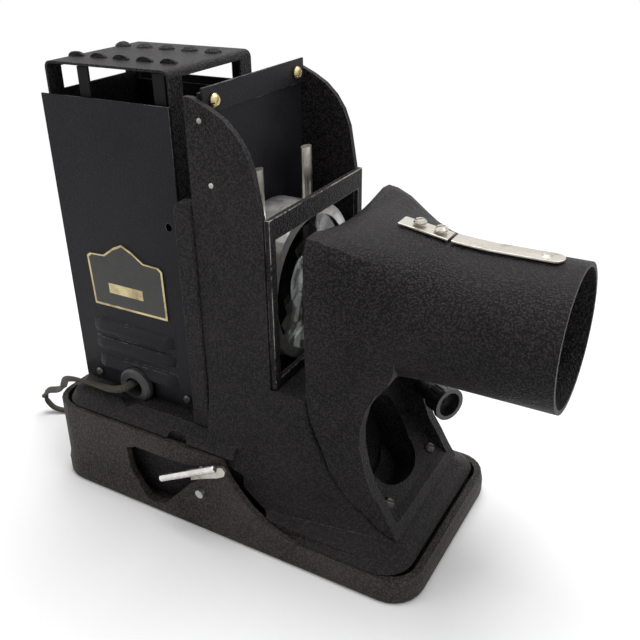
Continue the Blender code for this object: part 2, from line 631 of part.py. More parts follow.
def build_body():
    item = loft("body_casting", [hull_outline(level) for level in HULL_LEVELS], wrinkle_black(), twisted=True)
    cut(item, sweep_block())
    shoulder = [rounded_plan(rear_x, SHOULDER_FRONT_X, half, half, BASE_REAR_RADIUS - BASE_WALL, SHEET, z)
                for z, half, rear_x in SHOULDER_LEVELS]
    join(item, loft("shoulder", shoulder))
    nest_radius = BASE_REAR_RADIUS - BASE_WALL
    rear = [rounded_plan(NEST_REAR_X, SHOULDER_FRONT_X, NEST_HALF, NEST_HALF, nest_radius, SHEET, z)
            for z in (NEST_BOTTOM, NEST_TOP)]
    join(item, loft("nest_rear", rear))
    front = [rounded_plan(NEST_SPLIT_X, NEST_FRONT_X, NEST_HALF - HAIR, NEST_HALF - HAIR, SHEET,
                          BASE_FRONT_RADIUS - BASE_WALL, z) for z in (NEST_BOTTOM + HAIR, NEST_FRONT_TOP)]
    join(item, loft("nest_front", front))
    for side in (-1, 1):
        join(item, side_plate("plate", side))
    inner = BODY_HALF_WIDTH - SIDE_PLATE_WALL
    cut(item, box("chamber", (CHAMBER_REAR_X, -inner, CHAMBER_FLOOR), (CHAMBER_FRONT_X + HAIR / 2, inner, TOP_HEIGHT)))
    cradle = box("cradle", (CRADLE_REAR_X, -CRADLE_HALF, CHAMBER_FLOOR - SHEET), (CRADLE_FRONT_X, CRADLE_HALF, CRADLE_TOP))
    cut(cradle, rod("saddle", (CRADLE_REAR_X - SHEET, 0, OPTICAL_HEIGHT), (CRADLE_FRONT_X + SHEET, 0, OPTICAL_HEIGHT),
                    BARREL_RADIUS + GAP, None, 48))
    join(item, cradle)
    cut(item, ellipse_tool("chute", CHUTE_HALF_WIDTH, CHUTE_HALF_LENGTH, CHUTE_DEPTH, CUT_OVERSHOOT))
    reach = NEST_HALF + CUT_OVERSHOOT
    cut(item, rod("hinge_bore", (HINGE_X, -reach, HINGE_Z), (HINGE_X, reach, HINGE_Z), HINGE_PIN_RADIUS + GAP))
    cut(item, rod("notch", (NOTCH_X, -reach, BASE_RIM_HEIGHT), (NOTCH_X, -NEST_HALF + HAIR, BASE_RIM_HEIGHT),
                  NOTCH_RADIUS))
    for low, high in BODY_HOLLOWS:
        cut(item, box("hollow", low, high))
    mouth = -NEST_HALF - HAIR
    cut(item, prism_xz("crank_pocket", CRANK_POCKET, mouth, CRANK_POCKET_DEPTH_Y))
    crank_x, crank_z = crank_point()
    cut(item, box("crank_slot", (crank_x - CRANK_SLOT_HALF_LENGTH, mouth + HAIR * 2, crank_z - CRANK_SLOT_HALF_HEIGHT),
                  (crank_x + CRANK_SLOT_HALF_LENGTH, CRANK_SLOT_DEPTH_Y, crank_z + CRANK_SLOT_HALF_HEIGHT)))
    recess = GROMMET_RADIUS + 2 * GAP
    cut(item, rod("grommet_recess", (TAB_X, GROMMET_RIM_Y - 2 * GAP, GROMMET_Z), (TAB_X, GROMMET_BACK_Y + 2 * GAP, GROMMET_Z),
                  recess, None, 32))
    join(item, box("tab", (TAB_X - TAB_HALF, TAB_OUTER_Y, GROMMET_Z - recess - SHEET),
                   (TAB_X + TAB_HALF, TAB_INNER_Y, TAB_TOP)))
    cut(item, rod("cord_hole", (TAB_X, TAB_OUTER_Y - CUT_OVERSHOOT, GROMMET_Z),
                  (TAB_X, TAB_INNER_Y + CUT_OVERSHOOT / 2, GROMMET_Z), GROMMET_NECK + GAP))
    tidy(item)


def sweep_block():
    """Everything of the hull that would foul the base's tall rear wall."""
    points = [(x + RIM_GAP * 0, z + RIM_GAP) for x, z in RIM_SWEEP]
    points = [(x + RIM_GAP, z) for x, z in points]
    low = -CUT_OVERSHOOT
    rear = BASE_REAR_X
    outline = [(rear, low), (points[-1][0], low)] + list(reversed(points)) + [(rear, points[0][1])]
    half = BASE_HALF_WIDTH + CUT_OVERSHOOT
    return prism_xz("sweep_block", outline, -half, half)


def build_grommet():
    profile = [(0, GROMMET_BORE), (0, GROMMET_RADIUS - SHEET), (SHEET, GROMMET_RADIUS),
               (GROMMET_NECK_Y - GROMMET_RIM_Y - SHEET / 2, GROMMET_RADIUS), (GROMMET_NECK_Y - GROMMET_RIM_Y, GROMMET_RADIUS - SHEET / 2),
               (GROMMET_NECK_Y - GROMMET_RIM_Y, GROMMET_NECK), (TAB_INNER_Y + GAP - GROMMET_RIM_Y, GROMMET_NECK),
               (TAB_INNER_Y + GAP - GROMMET_RIM_Y, GROMMET_BACK_RADIUS), (GROMMET_BACK_Y - GROMMET_RIM_Y, GROMMET_BACK_RADIUS),
               (GROMMET_BACK_Y - GROMMET_RIM_Y, GROMMET_BORE)]
    turned("cord_grommet", profile, (TAB_X, GROMMET_RIM_Y, GROMMET_Z), (0, 1, 0), rubber(), 32)


def build_rails():
    top_radius = (RAIL_FRONT_X - RAIL_REAR_X) / 2
    outline = [(RAIL_REAR_X, RAIL_BOTTOM), (RAIL_FRONT_X, RAIL_BOTTOM)]
    centre_x = (RAIL_FRONT_X + RAIL_REAR_X) / 2
    for index in range(9):
        angle = math.pi * index / 8
        outline.append((centre_x + top_radius * math.cos(angle), RAIL_TOP - top_radius + top_radius * math.sin(angle)))
    for name, side in (("rail_right", -1), ("rail_left", 1)):
        low, high = sorted((side * RAIL_INNER, side * RAIL_OUTER))
        prism_xz(name, outline, low, high, wrinkle_black())


def build_partition():
    front = PARTITION_X + PARTITION_THICK
    item = box("partition", (PARTITION_X, -PARTITION_HALF, PARTITION_BOTTOM), (front, PARTITION_HALF, PARTITION_TOP),
               satin_black())
    cut(item, rod("aperture", (PARTITION_X - CUT_OVERSHOOT, 0, OPTICAL_HEIGHT), (front + CUT_OVERSHOOT, 0, OPTICAL_HEIGHT),
                  PARTITION_APERTURE, None, SEGMENTS))
    strip_front = front + GAP + STRIP_THICK
    strip = box("partition_strip", (front + GAP, -PARTITION_HALF, STRIP_BOTTOM), (strip_front, PARTITION_HALF, STRIP_TOP),
                satin_black())
    for name, side in (("strip_screw_right", -1), ("strip_screw_left", 1)):
        spot = (strip_front + GAP, side * PARTITION_SCREW_Y, PARTITION_SCREW_Z)
        slotted_screw(name, spot, (1, 0, 0), brass())
    return item, strip


def slotted_screw(name, place, axis, material, radius=SCREW_RADIUS, head=SCREW_HEAD):
    """A round screw head with its driver slot."""
    profile = [(0, 0), (0, radius), (head / 3, radius), (head, radius * 2 / 3), (head, 0)]
    screw = turned(name, profile, place, axis, material, 16)
    direction = Vector(axis).normalized()
    side = direction.orthogonal().normalized()
    other = direction.cross(side)
    width = radius / 5
    centre = Vector(place) + direction * head
    rings = []
    for along in (-head / 3, head):
        ring = []
        for first, second in ((-1, -1), (1, -1), (1, 1), (-1, 1)):
            ring.append(centre + direction * along + side * (first * radius * 2) + other * (second * width))
        rings.append(ring)
    cut(screw, loft("slot", rings))
    return tidy(screw, False)


def build_frame():
    item = box("gate_frame", (FRAME_REAR_X, -FRAME_HALF, FRAME_BOTTOM), (FRAME_FRONT_X, FRAME_HALF, FRAME_TOP),
               wrinkle_black())
    inner = FRAME_HALF - FRAME_POST
    cut(item, box("gate", (FRAME_REAR_X - CUT_OVERSHOOT, -inner, FRAME_BOTTOM + FRAME_BOTTOM_BAR),
                  (FRAME_FRONT_X + CUT_OVERSHOOT, inner, FRAME_TOP - FRAME_BAR)))
    return tidy(item, False)


def nose_ring(station):
    """One section of the nose, blended from a rounded box into the round snout."""
    x, half, top_mid, top_edge, blend = station
    points = []
    count = 48
    for index in range(count):
        angle = math.tau * index / count
        c, s = math.cos(angle), math.sin(angle)
        round_y, round_z = half * c, (SNOUT_RADIUS if s < 0 else top_mid - OPTICAL_HEIGHT) * s
        reach_z = (top_edge - OPTICAL_HEIGHT) if s >= 0 else (OPTICAL_HEIGHT - NOSE_BOX_BOTTOM)
        power = 8
        scale = (abs(c) ** power + abs(s) ** power) ** (-1 / power)
        box_y, box_z = half * c * scale, reach_z * s * scale
        if s > 0:
            dip = (top_edge - top_mid) * (1 - (abs(box_y) / half) ** 2)
            box_z -= dip * max(0.0, s * scale)
        share = blend if s > 0 else min(1.0, blend * NOSE_UNDERSIDE_share)
        y = box_y * (1 - share) + round_y * share
        z = box_z * (1 - share) + round_z * share
        points.append((x, y, OPTICAL_HEIGHT + z))
    return points


def foot_ring(station, top_half):
    x, low, half = station
    flare = half - (half - top_half) / 2
    middle = (low + NOSE_FOOT_TOP) / 2
    return [(x, -half, low), (x, half, low), (x, flare, middle), (x, top_half - HAIR * 4, NOSE_FOOT_TOP),
            (x, -top_half + HAIR * 4, NOSE_FOOT_TOP), (x, -flare, middle)]


def knob_spot(back):
    axis = Vector(KNOB_AXIS).normalized()
    return Vector(KNOB_FACE) - axis * back


def build_nose():
    item = loft("nose_casting", [nose_ring(station) for station in NOSE_STATIONS], wrinkle_black(), twisted=True)
    foot = loft("foot", [foot_ring(station, top) for station, top in zip(NOSE_FOOT_STATIONS, NOSE_FOOT_TOP_HALF)],
                twisted=True)
    far = [(CHEEK_CUT_FRONT_X, CHEEK_EDGE[-1][1]), (CHEEK_CUT_FRONT_X, CHEEK_CUT_LOW), (CHEEK_EDGE[0][0], CHEEK_CUT_LOW)]
    half = BASE_HALF_WIDTH
    cut(foot, prism_xz("cheek_cut", CHEEK_EDGE + far, -half, half))
    cut(foot, prism_xz("throat_cut", THROAT, -THROAT_HALF, THROAT_HALF))
    join(item, foot)
    join(item, rod("boss", knob_spot(BOSS_BACK), knob_spot(BOSS_FRONT), BOSS_RADIUS))
    cut(item, rod("bore", (0, 0, OPTICAL_HEIGHT), (SNOUT_END_X + CUT_OVERSHOOT, 0, OPTICAL_HEIGHT), BORE_RADIUS, None, 48))
    cut(item, rod("boss_bore", knob_spot(KNOB_SHAFT_BACK + GAP), knob_spot(0), KNOB_SHAFT_RADIUS + GAP))
    cut(item, rod("pin_hole", (FOCUS_PIN_X, 0, OPTICAL_HEIGHT), (FOCUS_PIN_X, 0, TOP_HEIGHT), FOCUS_PIN_HOLE))
    cut(item, ellipse_tool("oval", CHUTE_HALF_WIDTH, CHUTE_HALF_LENGTH, CHUTE_DEPTH, CUT_OVERSHOOT))
    tidy(item)
    (front_x, front_z), (rear_x, rear_z) = THROAT[2], THROAT[3]
    run, rise = front_x - rear_x, rear_z - front_z
    normal = Vector((rise, 0, run)).normalized()
    middle = Vector(((front_x + rear_x) / 2 + run * NOSE_SCREW_share, 0,
                     (front_z + rear_z) / 2 - rise * NOSE_SCREW_share)) + normal * GAP
    for name, side in (("foot_screw_right", -1), ("foot_screw_left", 1)):
        slotted_screw(name, middle + Vector((0, side * NOSE_SCREW_Y, 0)), normal, steel())


def build_knob():
    pitch = KNOB_LENGTH
    profile = [(0, KNOB_BORE), (0, KNOB_BACK_RADIUS - KNOB_GROOVE_DEPTH), (KNOB_GROOVE_DEPTH, KNOB_BACK_RADIUS),
               (pitch * 0.7, KNOB_BACK_RADIUS), (pitch * 0.8, KNOB_RADIUS), (pitch, KNOB_RADIUS),
               (pitch, KNOB_CUP_RADIUS), (pitch - KNOB_CUP_DEPTH, KNOB_CUP_RADIUS), (pitch - KNOB_CUP_DEPTH, KNOB_BORE)]
    knob = turned("knob", profile, knob_spot(KNOB_LENGTH), KNOB_AXIS, knob_black(), 48)
    axis = Vector(KNOB_AXIS).normalized()
    side = axis.orthogonal().normalized()
    other = axis.cross(side)
    for index in range(KNOB_GROOVES):
        angle = math.tau * index / KNOB_GROOVES
        out = side * math.cos(angle) + other * math.sin(angle)
        offset = out * (KNOB_BACK_RADIUS + KNOB_GROOVE_DEPTH / 3)
        cut(knob, rod("groove", knob_spot(KNOB_LENGTH + SHEET) + offset, knob_spot(KNOB_LENGTH * 0.32) + offset,
                      KNOB_GROOVE_DEPTH, None, 6))
    tidy(knob)
    rod("knob_shaft", knob_spot(KNOB_SHAFT_BACK), knob_spot(KNOB_LENGTH - SHEET * 4), KNOB_SHAFT_RADIUS, steel(), 16)


def strip_rings(points, rounded):
    """Sections along a flat strip that follows the snout's top line."""
    rings = []
    for x, z in points:
        rings.append([(x, -SPRING_HALF, z), (x, SPRING_HALF, z), (x, SPRING_HALF, z + SPRING_THICK),
                      (x, -SPRING_HALF, z + SPRING_THICK)])
    if rounded:
        start_x, z = points[-1]
        for index in range(1, 6):
            angle = math.pi / 2 * index / 6
            x = start_x + SPRING_HALF * math.sin(angle)
            half = SPRING_HALF * math.cos(angle)
            rings.append([(x, -half, z), (x, half, z), (x, half, z + SPRING_THICK), (x, -half, z + SPRING_THICK)])
    return rings


def build_focus_spring():
    fixed = [(x, z + SPRING_LIFT) for x, z in SPRING_POINTS]
    clamp = loft("spring_clamp", strip_rings(fixed, False), nickel())
    for index, name in enumerate(("spring_screw_rear", "spring_screw_front")):
        slotted_screw(name, (SPRING_SCREW_X[index], 0, SPRING_SCREW_Z[index] + SPRING_LIFT * 3), (0, 0, 1), nickel())
    free = [(x, z + SPRING_LIFT) for x, z in SPRING_FREE_POINTS]
    leaf = loft("focus_spring", strip_rings(free, True), nickel())
    top = free[-1][1] + SPRING_THICK
    join(leaf, rod("focus_pin", (FOCUS_PIN_X, 0, FOCUS_PIN_LOW), (FOCUS_PIN_X, 0, top + HAIR), FOCUS_PIN_RADIUS, None, 16))
    head = [(0, 0), (0, FOCUS_PIN_HEAD), (FOCUS_PIN_TOP - top, FOCUS_PIN_HEAD * 2 / 3), (FOCUS_PIN_TOP - top, 0)]
    join(leaf, turned("pin_head", head, (FOCUS_PIN_X, 0, top - HAIR), (0, 0, 1), None, 16))
    tidy(leaf)
    return clamp


def shell_profile(offset):
    """The lamphouse strip seen from the side: up the back, over the top and down the front."""
    rear = LAMP_REAR_X + offset
    front = LAMP_FRONT_X - offset
    top = TOP_HEIGHT - offset
    radius = SHELL_BEND - offset
    points = [(rear, LAMP_BOTTOM)]
    for centre_x, start in ((rear + radius, 180), (front - radius, 90)):
        for index in range(5):
            angle = math.radians(start - 90 * index / 4)
            points.append((centre_x + radius * math.cos(angle), top - radius + radius * math.sin(angle)))
    points.append((front, LAMP_BOTTOM))
    return points


def top_vent(name, x, side):
    """A pressed scallop on the top with its mouth towards the side."""
    centre = Vector((x, side * VENT_Y, TOP_HEIGHT - SHEET / 2))
    bm = bmesh.new()
    rows = []
    for step in range(3):
        rise = math.radians(90 * step / 3)
        radius = VENT_RADIUS * math.cos(rise)
        height = (VENT_HEIGHT + SHEET / 2) * math.sin(rise)
        row = []
        for index in range(9):
            angle = math.pi * index / 8
            row.append(bm.verts.new(centre + Vector((radius * math.cos(angle), -side * radius * math.sin(angle), height))))
        rows.append(row)
    tip = bm.verts.new(centre + Vector((0, 0, VENT_HEIGHT + SHEET / 2)))
    for low, high in zip(rows, rows[1:]):
        for index in range(8):
            bm.faces.new((low[index], low[index + 1], high[index + 1], high[index]))
    for index in range(8):
        bm.faces.new((rows[-1][index], rows[-1][index + 1], tip))
    bm.faces.new(rows[0])
    mouth = [row[0] for row in rows] + [tip] + [row[-1] for row in reversed(rows)]
    bm.faces.new(mouth)
    return finish(name, bm, None)


def build_shell():
    outer = shell_profile(0)
    inner = list(reversed(shell_profile(SHEET)))
    item = prism_xz("lamphouse_shell", outer + inner, -LAMP_HALF, LAMP_HALF, wrinkle_black())
    for low, high in ((LAMP_REAR_X - SHEET, LAMP_REAR_X + SHEET * 2), (LAMP_FRONT_X - SHEET * 2, LAMP_FRONT_X + SHEET)):
        cut(item, box("window", (low, -WINDOW_HALF, WINDOW_LOW), (high, WINDOW_HALF, WINDOW_HIGH - SHEET)))
    cut(item, rod("beam", (LAMP_FRONT_X - SHEET * 2, 0, OPTICAL_HEIGHT), (LAMP_FRONT_X + SHEET, 0, OPTICAL_HEIGHT),
                  BEAM_RADIUS, None, 32))
    for index in range(VENT_COUNT):
        for side in (-1, 1):
            join(item, top_vent("vent", VENT_FIRST_X + VENT_PITCH * index, side))
    return tidy(item)


def side_vent(name, z, side):
    """A long bulged louvre that opens along its lower edge."""
    face = side * (PANEL_OUTER_Y - SHEET / 2)
    out = side * (PANEL_OUTER_Y + SIDE_VENT_BULGE)
    rings = []
    length = SIDE_VENT_FRONT_X - SIDE_VENT_REAR_X
    for share in (0, 0.04, 0.12, 0.88, 0.96, 1):
        bulge = {0: 0.05, 0.04: 0.6, 0.12: 1.0, 0.88: 1.0, 0.96: 0.6, 1: 0.05}[share]
        x = SIDE_VENT_REAR_X + length * share
        y = face + (out - face) * bulge
        rings.append([(x, face, z - SIDE_VENT_RISE / 2), (x, y, z - SIDE_VENT_RISE / 2),
                      (x, y, z - SIDE_VENT_RISE / 4), (x, (face + y) / 2, z + SIDE_VENT_RISE / 3),
                      (x, face, z + SIDE_VENT_RISE / 2)])
    return loft(name, rings)


def build_panels():
    outline = [(PANEL_REAR_X, LAMP_BOTTOM), (PANEL_FRONT_X, LAMP_BOTTOM), (PANEL_FRONT_X, PANEL_TOP),
               (PANEL_REAR_X, PANEL_TOP)]
    notch = GROMMET_RADIUS + GAP
    for name, side in (("side_panel_right", -1), ("side_panel_left", 1)):
        low, high = sorted((side * (PANEL_OUTER_Y - SHEET), side * PANEL_OUTER_Y))
        item = prism_xz(name, outline, low, high, satin_black())
        for z in SIDE_VENT_Z:
            join(item, side_vent("louvre", z, side))
        if side < 0:
            arch = [(TAB_X - notch, 0), (TAB_X + notch, 0)]
            for index in range(9):
                angle = math.pi * index / 8
                arch.append((TAB_X + notch * math.cos(angle), GROMMET_Z + notch * math.sin(angle)))
            cut(item, prism_xz("notch", arch, low - CUT_OVERSHOOT, high + SHEET))
        spot = (PANEL_HOLE[0], 0, PANEL_HOLE[1])
        cut(item, rod("hole", spot, (spot[0], side * (PANEL_OUTER_Y + CUT_OVERSHOOT), spot[2]), PANEL_HOLE_RADIUS, None, 12))
        tidy(item, False)
        tag = name.split("_")[-1]
        for index, (x, z) in enumerate(PANEL_SCREWS):
            end = ("rear", "front")[index]
            slotted_screw("panel_screw_" + tag + "_" + end, (x, side * (PANEL_OUTER_Y + GAP), z), (0, side, 0), steel(),
                          SCREW_RADIUS * 0.8, SCREW_HEAD * 0.7)


def build_liners():
    """Inner side sheets of the lamphouse, whose two straps reach up to the cover."""
    for name, side in (("liner_right", -1), ("liner_left", 1)):
        (first, second), (third, fourth) = LINER_POSTS
        base_low = LINER_NOTCH_TOP if side < 0 else LINER_BOTTOM
        low, high = sorted((side * LINER_OUTER_Y, side * (LINER_OUTER_Y - SHEET)))
        rear = LAMP_REAR_X + SHEET + GAP
        front = LAMP_FRONT_X - SHEET - GAP
        shelf = PANEL_TOP - SHEET * 3
        outline = [(rear, base_low), (front, base_low), (front, shelf), (fourth, shelf), (fourth, LINER_TOP),
                   (third, LINER_TOP), (third, shelf), (second, shelf), (second, LINER_TOP), (first, LINER_TOP),
                   (first, shelf), (rear, shelf)]
        prism_xz(name, outline, low, high, inner_black())


def build_lamp():
    top = SHOULDER_LEVELS[-1][0]
    profile = [(top + GAP, 0), (top + GAP, SOCKET_FLANGE_RADIUS), (top + GAP + SOCKET_FLANGE, SOCKET_FLANGE_RADIUS),
               (top + GAP + SOCKET_FLANGE, SOCKET_RADIUS), (SOCKET_TOP, SOCKET_RADIUS), (SOCKET_TOP, LAMP_SOCKET_BORE),
               (LAMP_BASE_LOW - GAP, LAMP_SOCKET_BORE), (LAMP_BASE_LOW - GAP, 0)]
    turned("lamp_socket", profile, (LAMP_X, 0, 0), (0, 0, 1), ceramic(), 24)
    rod("lamp_base", (LAMP_X, 0, LAMP_BASE_LOW), (LAMP_X, 0, LAMP_BASE_TOP), LAMP_BASE_RADIUS, brass(), 20)
    bulb = [(BULB_LOW, 0), (BULB_LOW, BULB_NECK_RADIUS), (BULB_SHOULDER, BULB_RADIUS), (BULB_TOP - BULB_RADIUS, BULB_RADIUS)]
    for index in range(1, 5):
        angle = math.pi / 2 * index / 4
        bulb.append((BULB_TOP - BULB_RADIUS + BULB_RADIUS * math.sin(angle), BULB_RADIUS * math.cos(angle) if index < 4 else 0))
    turned("lamp_bulb", bulb, (LAMP_X, 0, 0), (0, 0, 1), glass(), 24)
    front, back = [], []
    for index in range(6):
        share = index / 5
        radius = REFLECTOR_RADIUS * share
        depth = REFLECTOR_SAG * share * share
        front.append((depth, radius))
        back.append((depth - REFLECTOR_THICK, radius))
    profile = front + list(reversed(back))
    turned("reflector", profile, (REFLECTOR_X, 0, OPTICAL_HEIGHT), (1, 0, 0), mirror(), 24)
    half = REFLECTOR_POST_HALF
    post = box("reflector_post", (REFLECTOR_POST_REAR_X, -half, top + GAP), (REFLECTOR_POST_FRONT_X, half, OPTICAL_HEIGHT),
               steel())
    join(post, box("toe", (REFLECTOR_POST_REAR_X + HAIR, -half * 2, top + GAP),
                   (REFLECTOR_POST_FRONT_X + REFLECTOR_POST_HALF, half * 2, top + GAP + SHEET)))
    join(post, box("pad", (REFLECTOR_POST_REAR_X + HAIR, -half + HAIR, OPTICAL_HEIGHT - half),
                   (REFLECTOR_X - REFLECTOR_THICK - GAP, half - HAIR, OPTICAL_HEIGHT + half)))
    tidy(post, False)


def lens_profile(edge, sag, radius):
    """A plano-convex lens with its flat face at zero."""
    points = [(0, 0), (0, radius), (edge, radius)]
    for index in range(1, 6):
        share = 1 - index / 5
        points.append((edge + sag * (1 - share * share), radius * share))
    return points


def build_condenser():
    length = BARREL_FRONT_X - BARREL_REAR_X
    inner = BARREL_RADIUS - BARREL_WALL
    lip = BARREL_RADIUS - BARREL_LIP - BARREL_WALL / 2
    profile = [(0, BARREL_RADIUS), (length, BARREL_RADIUS), (length, lip), (length - SHEET, lip), (length - SHEET, inner),
               (SHEET, inner), (SHEET, lip), (0, lip)]
    barrel = turned("condenser_barrel", profile, (BARREL_REAR_X, 0, OPTICAL_HEIGHT), (1, 0, 0), aluminium(), 48)
    rim = inner - GAP
    turned("rear_lens", lens_profile(LENS_EDGE, LENS_SAG * 0.6, rim), (BARREL_REAR_X + SHEET + GAP, 0, OPTICAL_HEIGHT),
           (1, 0, 0), glass(), 32)
    turned("front_lens", lens_profile(LENS_EDGE, LENS_SAG * 0.6, rim), (BARREL_FRONT_X - SHEET - GAP, 0, OPTICAL_HEIGHT),
           (-1, 0, 0), glass(), 32)
    for name, side in (("post_right", -1), ("post_left", 1)):
        y = side * POST_Y
        drop = math.sqrt(BARREL_RADIUS ** 2 - (POST_Y - POST_HALF_WIDTH) ** 2)
        low = OPTICAL_HEIGHT + drop + GAP
        outline = []
        for index in range(16):
            angle = math.tau * index / 16
            wave = 1 + 0.12 * math.cos(2 * angle)
            outline.append((POST_X + POST_HALF_DEPTH * math.sin(angle), y + POST_HALF_WIDTH * wave * math.cos(angle)))
        rings = [[(px, py, z) for px, py in outline] for z in (low, POST_TOP)]
        loft(name, rings, nickel())


def smooth_route(route, count):
    """Points at even steps along a smooth curve through the route's points."""
    spots = [Vector(point) for point in route]
    spots = [spots[0] * 2 - spots[1]] + spots + [spots[-1] * 2 - spots[-2]]
    fine = []
    for index in range(1, len(spots) - 2):
        before, start, end, after = spots[index - 1:index + 3]
        for step in range(16):
            t = step / 16
            fine.append(0.5 * (2 * start + (end - before) * t + (2 * before - 5 * start + 4 * end - after) * t * t
                               + (3 * start - before - 3 * end + after) * t ** 3))
    fine.append(spots[-2])
    reach = [0.0]
    for first, second in zip(fine, fine[1:]):
        reach.append(reach[-1] + (second - first).length)
    out, at = [], 0
    for index in range(count):
        want = reach[-1] * index / (count - 1)
        while at < len(fine) - 2 and reach[at + 1] < want:
            at += 1
        share = (want - reach[at]) / (reach[at + 1] - reach[at])
        out.append(fine[at].lerp(fine[at + 1], share))
    return out


def coil_points():
    """One unbroken line: in along the table, up in half a turn, and out again on top."""
    inner = COIL_OUTER - COIL_PITCH * COIL_TURNS
    steps = int(COIL_TURNS * COIL_STEPS)
    places = []
    for step in range(steps + 1):
        turn = step / COIL_STEPS
        places.append((turn, COIL_OUTER - COIL_PITCH * turn, CORD_REST))
    for step in range(1, COIL_STEPS // 2 + 1):
        share = step / (COIL_STEPS / 2)
        rise = share * share * (3 - 2 * share)
        places.append((COIL_TURNS + share / 2, inner - COIL_DIP * math.sin(math.pi * share), CORD_REST + COIL_PITCH * rise))
    for step in range(1, steps + 1):
        turn = step / COIL_STEPS
        places.append((COIL_TURNS + 0.5 + turn, inner + COIL_PITCH * turn, CORD_REST + COIL_PITCH))
    points = [Vector((COIL_X - CORD_DIAMETER, COIL_Y - COIL_OUTER, CORD_REST))]
    for turn, radius, height in places:
        angle = math.tau * turn - math.pi / 2
        points.append(Vector((COIL_X + radius * math.cos(angle), COIL_Y + radius * math.sin(angle), height)))
    points.append(points[-1] - Vector((CORD_DIAMETER, 0, 0)))
    return points


def least_self_gap(points, diameter):
    """The smallest clear distance between stretches of the line that aren't neighbours."""
    least = None
    skip = COIL_STEPS // 3
    for index, spot in enumerate(points):
        for other in points[index + skip:]:
            gap = (spot - other).length - diameter
            least = gap if least is None else min(least, gap)
    return least


def cord_tube(name, points, resolution, material):
    """A round tube along the points, flattened where it stands on the table."""
    line = bpy.data.curves.new(name + "_line", "CURVE")
    line.dimensions = "3D"
    line.bevel_depth = CORD_DIAMETER / 2
    line.bevel_resolution = resolution
    line.use_fill_caps = True
    spline = line.splines.new("POLY")
    spline.points.add(len(points) - 1)
    for place, spot in zip(spline.points, points):
        place.co = (*spot, 1.0)
    carrier = bpy.data.objects.new(name + "_line", line)
    bpy.context.scene.collection.objects.link(carrier)
    bpy.context.view_layer.update()
    mesh = bpy.data.meshes.new_from_object(carrier.evaluated_get(bpy.context.evaluated_depsgraph_get()))
    bpy.data.objects.remove(carrier)
    mesh.name = name
    item = bpy.data.objects.new(name, mesh)
    bpy.context.scene.collection.objects.link(item)
    bm = bmesh.new()
    bm.from_mesh(mesh)
    bmesh.ops.remove_doubles(bm, verts=bm.verts, dist=0.000001)
    bmesh.ops.recalc_face_normals(bm, faces=bm.faces)
    bm.to_mesh(mesh)
    bm.free()
    spread = [(min(p[axis] for p in points) - CUT_OVERSHOOT, max(p[axis] for p in points) + CUT_OVERSHOOT) for axis in (0, 1)]
    cut(item, box("table", (spread[0][0], spread[1][0], -CUT_OVERSHOOT), (spread[0][1], spread[1][1], 0)))
    item.data.materials.clear()
    item.data.materials.append(material)
    return tidy(item)


def build_cord():
    colour = make_material("cord_olive", (0.060, 0.055, 0.040), 0.60)
    lead = smooth_route(CORD_ROUTE + [(COIL_X - CORD_DIAMETER - GAP, COIL_Y - COIL_OUTER, CORD_REST)], CORD_POINTS)
    cord_tube("lamp_lead", lead, 2, colour)
    coil = coil_points()
    print("least gap of the coil to itself:", round(least_self_gap(coil, CORD_DIAMETER) * 1000, 3), "mm")
    length = sum((b - a).length for a, b in zip(lead, lead[1:])) + sum((b - a).length for a, b in zip(coil, coil[1:]))
    print("length of the cord:", round(length, 3), "m")
    cord_tube("lead_coil", coil, 1, colour)
    end = coil[-1] - Vector((GAP, 0, 0))
    plug = turned("lead_plug", PLUG_PROFILE, end, (-1, 0, 0), make_material("plug_black", (0.025, 0.023, 0.022), 0.4), 24)
    face = end.x - PLUG_PROFILE[-1][0]
    for side in (-1, 1):
        y = end.y + side * PRONG_SPREAD
        prong = box("prong", (face - PRONG_LENGTH, y - PRONG_THICK / 2, end.z - PRONG_HALF_WIDTH),
                    (face + SHEET, y + PRONG_THICK / 2, end.z + PRONG_HALF_WIDTH))
        join(plug, prong)
    tidy(plug)


def main():
    clear_scene()
    build_base()
    build_lever()
    build_body()
    build_grommet()
    build_rails()
    build_partition()
    build_frame()
    build_nose()
    build_knob()
    build_focus_spring()
    build_shell()
    build_panels()
    build_liners()
    build_lamp()
    build_condenser()
    build_cord()


main()
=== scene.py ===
"""Looks of a small slide projector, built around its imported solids."""

import logging
import math
from dataclasses import dataclass, replace
from enum import Enum
from typing import Any

import bmesh
import bpy
from mathutils import Matrix, Vector


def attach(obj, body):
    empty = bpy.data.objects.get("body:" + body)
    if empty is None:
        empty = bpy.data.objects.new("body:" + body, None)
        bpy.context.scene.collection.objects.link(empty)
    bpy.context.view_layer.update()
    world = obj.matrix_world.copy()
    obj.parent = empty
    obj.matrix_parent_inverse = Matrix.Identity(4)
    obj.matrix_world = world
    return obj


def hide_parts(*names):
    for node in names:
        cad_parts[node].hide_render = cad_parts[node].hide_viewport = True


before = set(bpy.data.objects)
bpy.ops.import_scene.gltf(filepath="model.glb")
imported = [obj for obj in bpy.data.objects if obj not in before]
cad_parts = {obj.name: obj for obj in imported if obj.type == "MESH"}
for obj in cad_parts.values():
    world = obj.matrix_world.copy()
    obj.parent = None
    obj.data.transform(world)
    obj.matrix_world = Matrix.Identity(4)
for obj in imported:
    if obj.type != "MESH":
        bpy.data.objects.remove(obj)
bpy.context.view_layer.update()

logging.basicConfig(level=logging.INFO, format="%(message)s")
log = logging.getLogger("projector")


class Body(Enum):
    """The rigid bodies that pieces ride on."""

    BASE = "base"
    LEVER = "lever"
    HEAD = "head"
    LEAF = "focus_leaf"
    LAMPHOUSE = "lamphouse"
    KNOB = "focus_knob"


class Effect(Enum):
    """Shader node groups that several finishes share."""

    WRINKLE = "wrinkle_height"
    MOTTLE = "mottle_mask"
    WEAR = "chip_mask"
    SCRATCH = "scratch_mask"


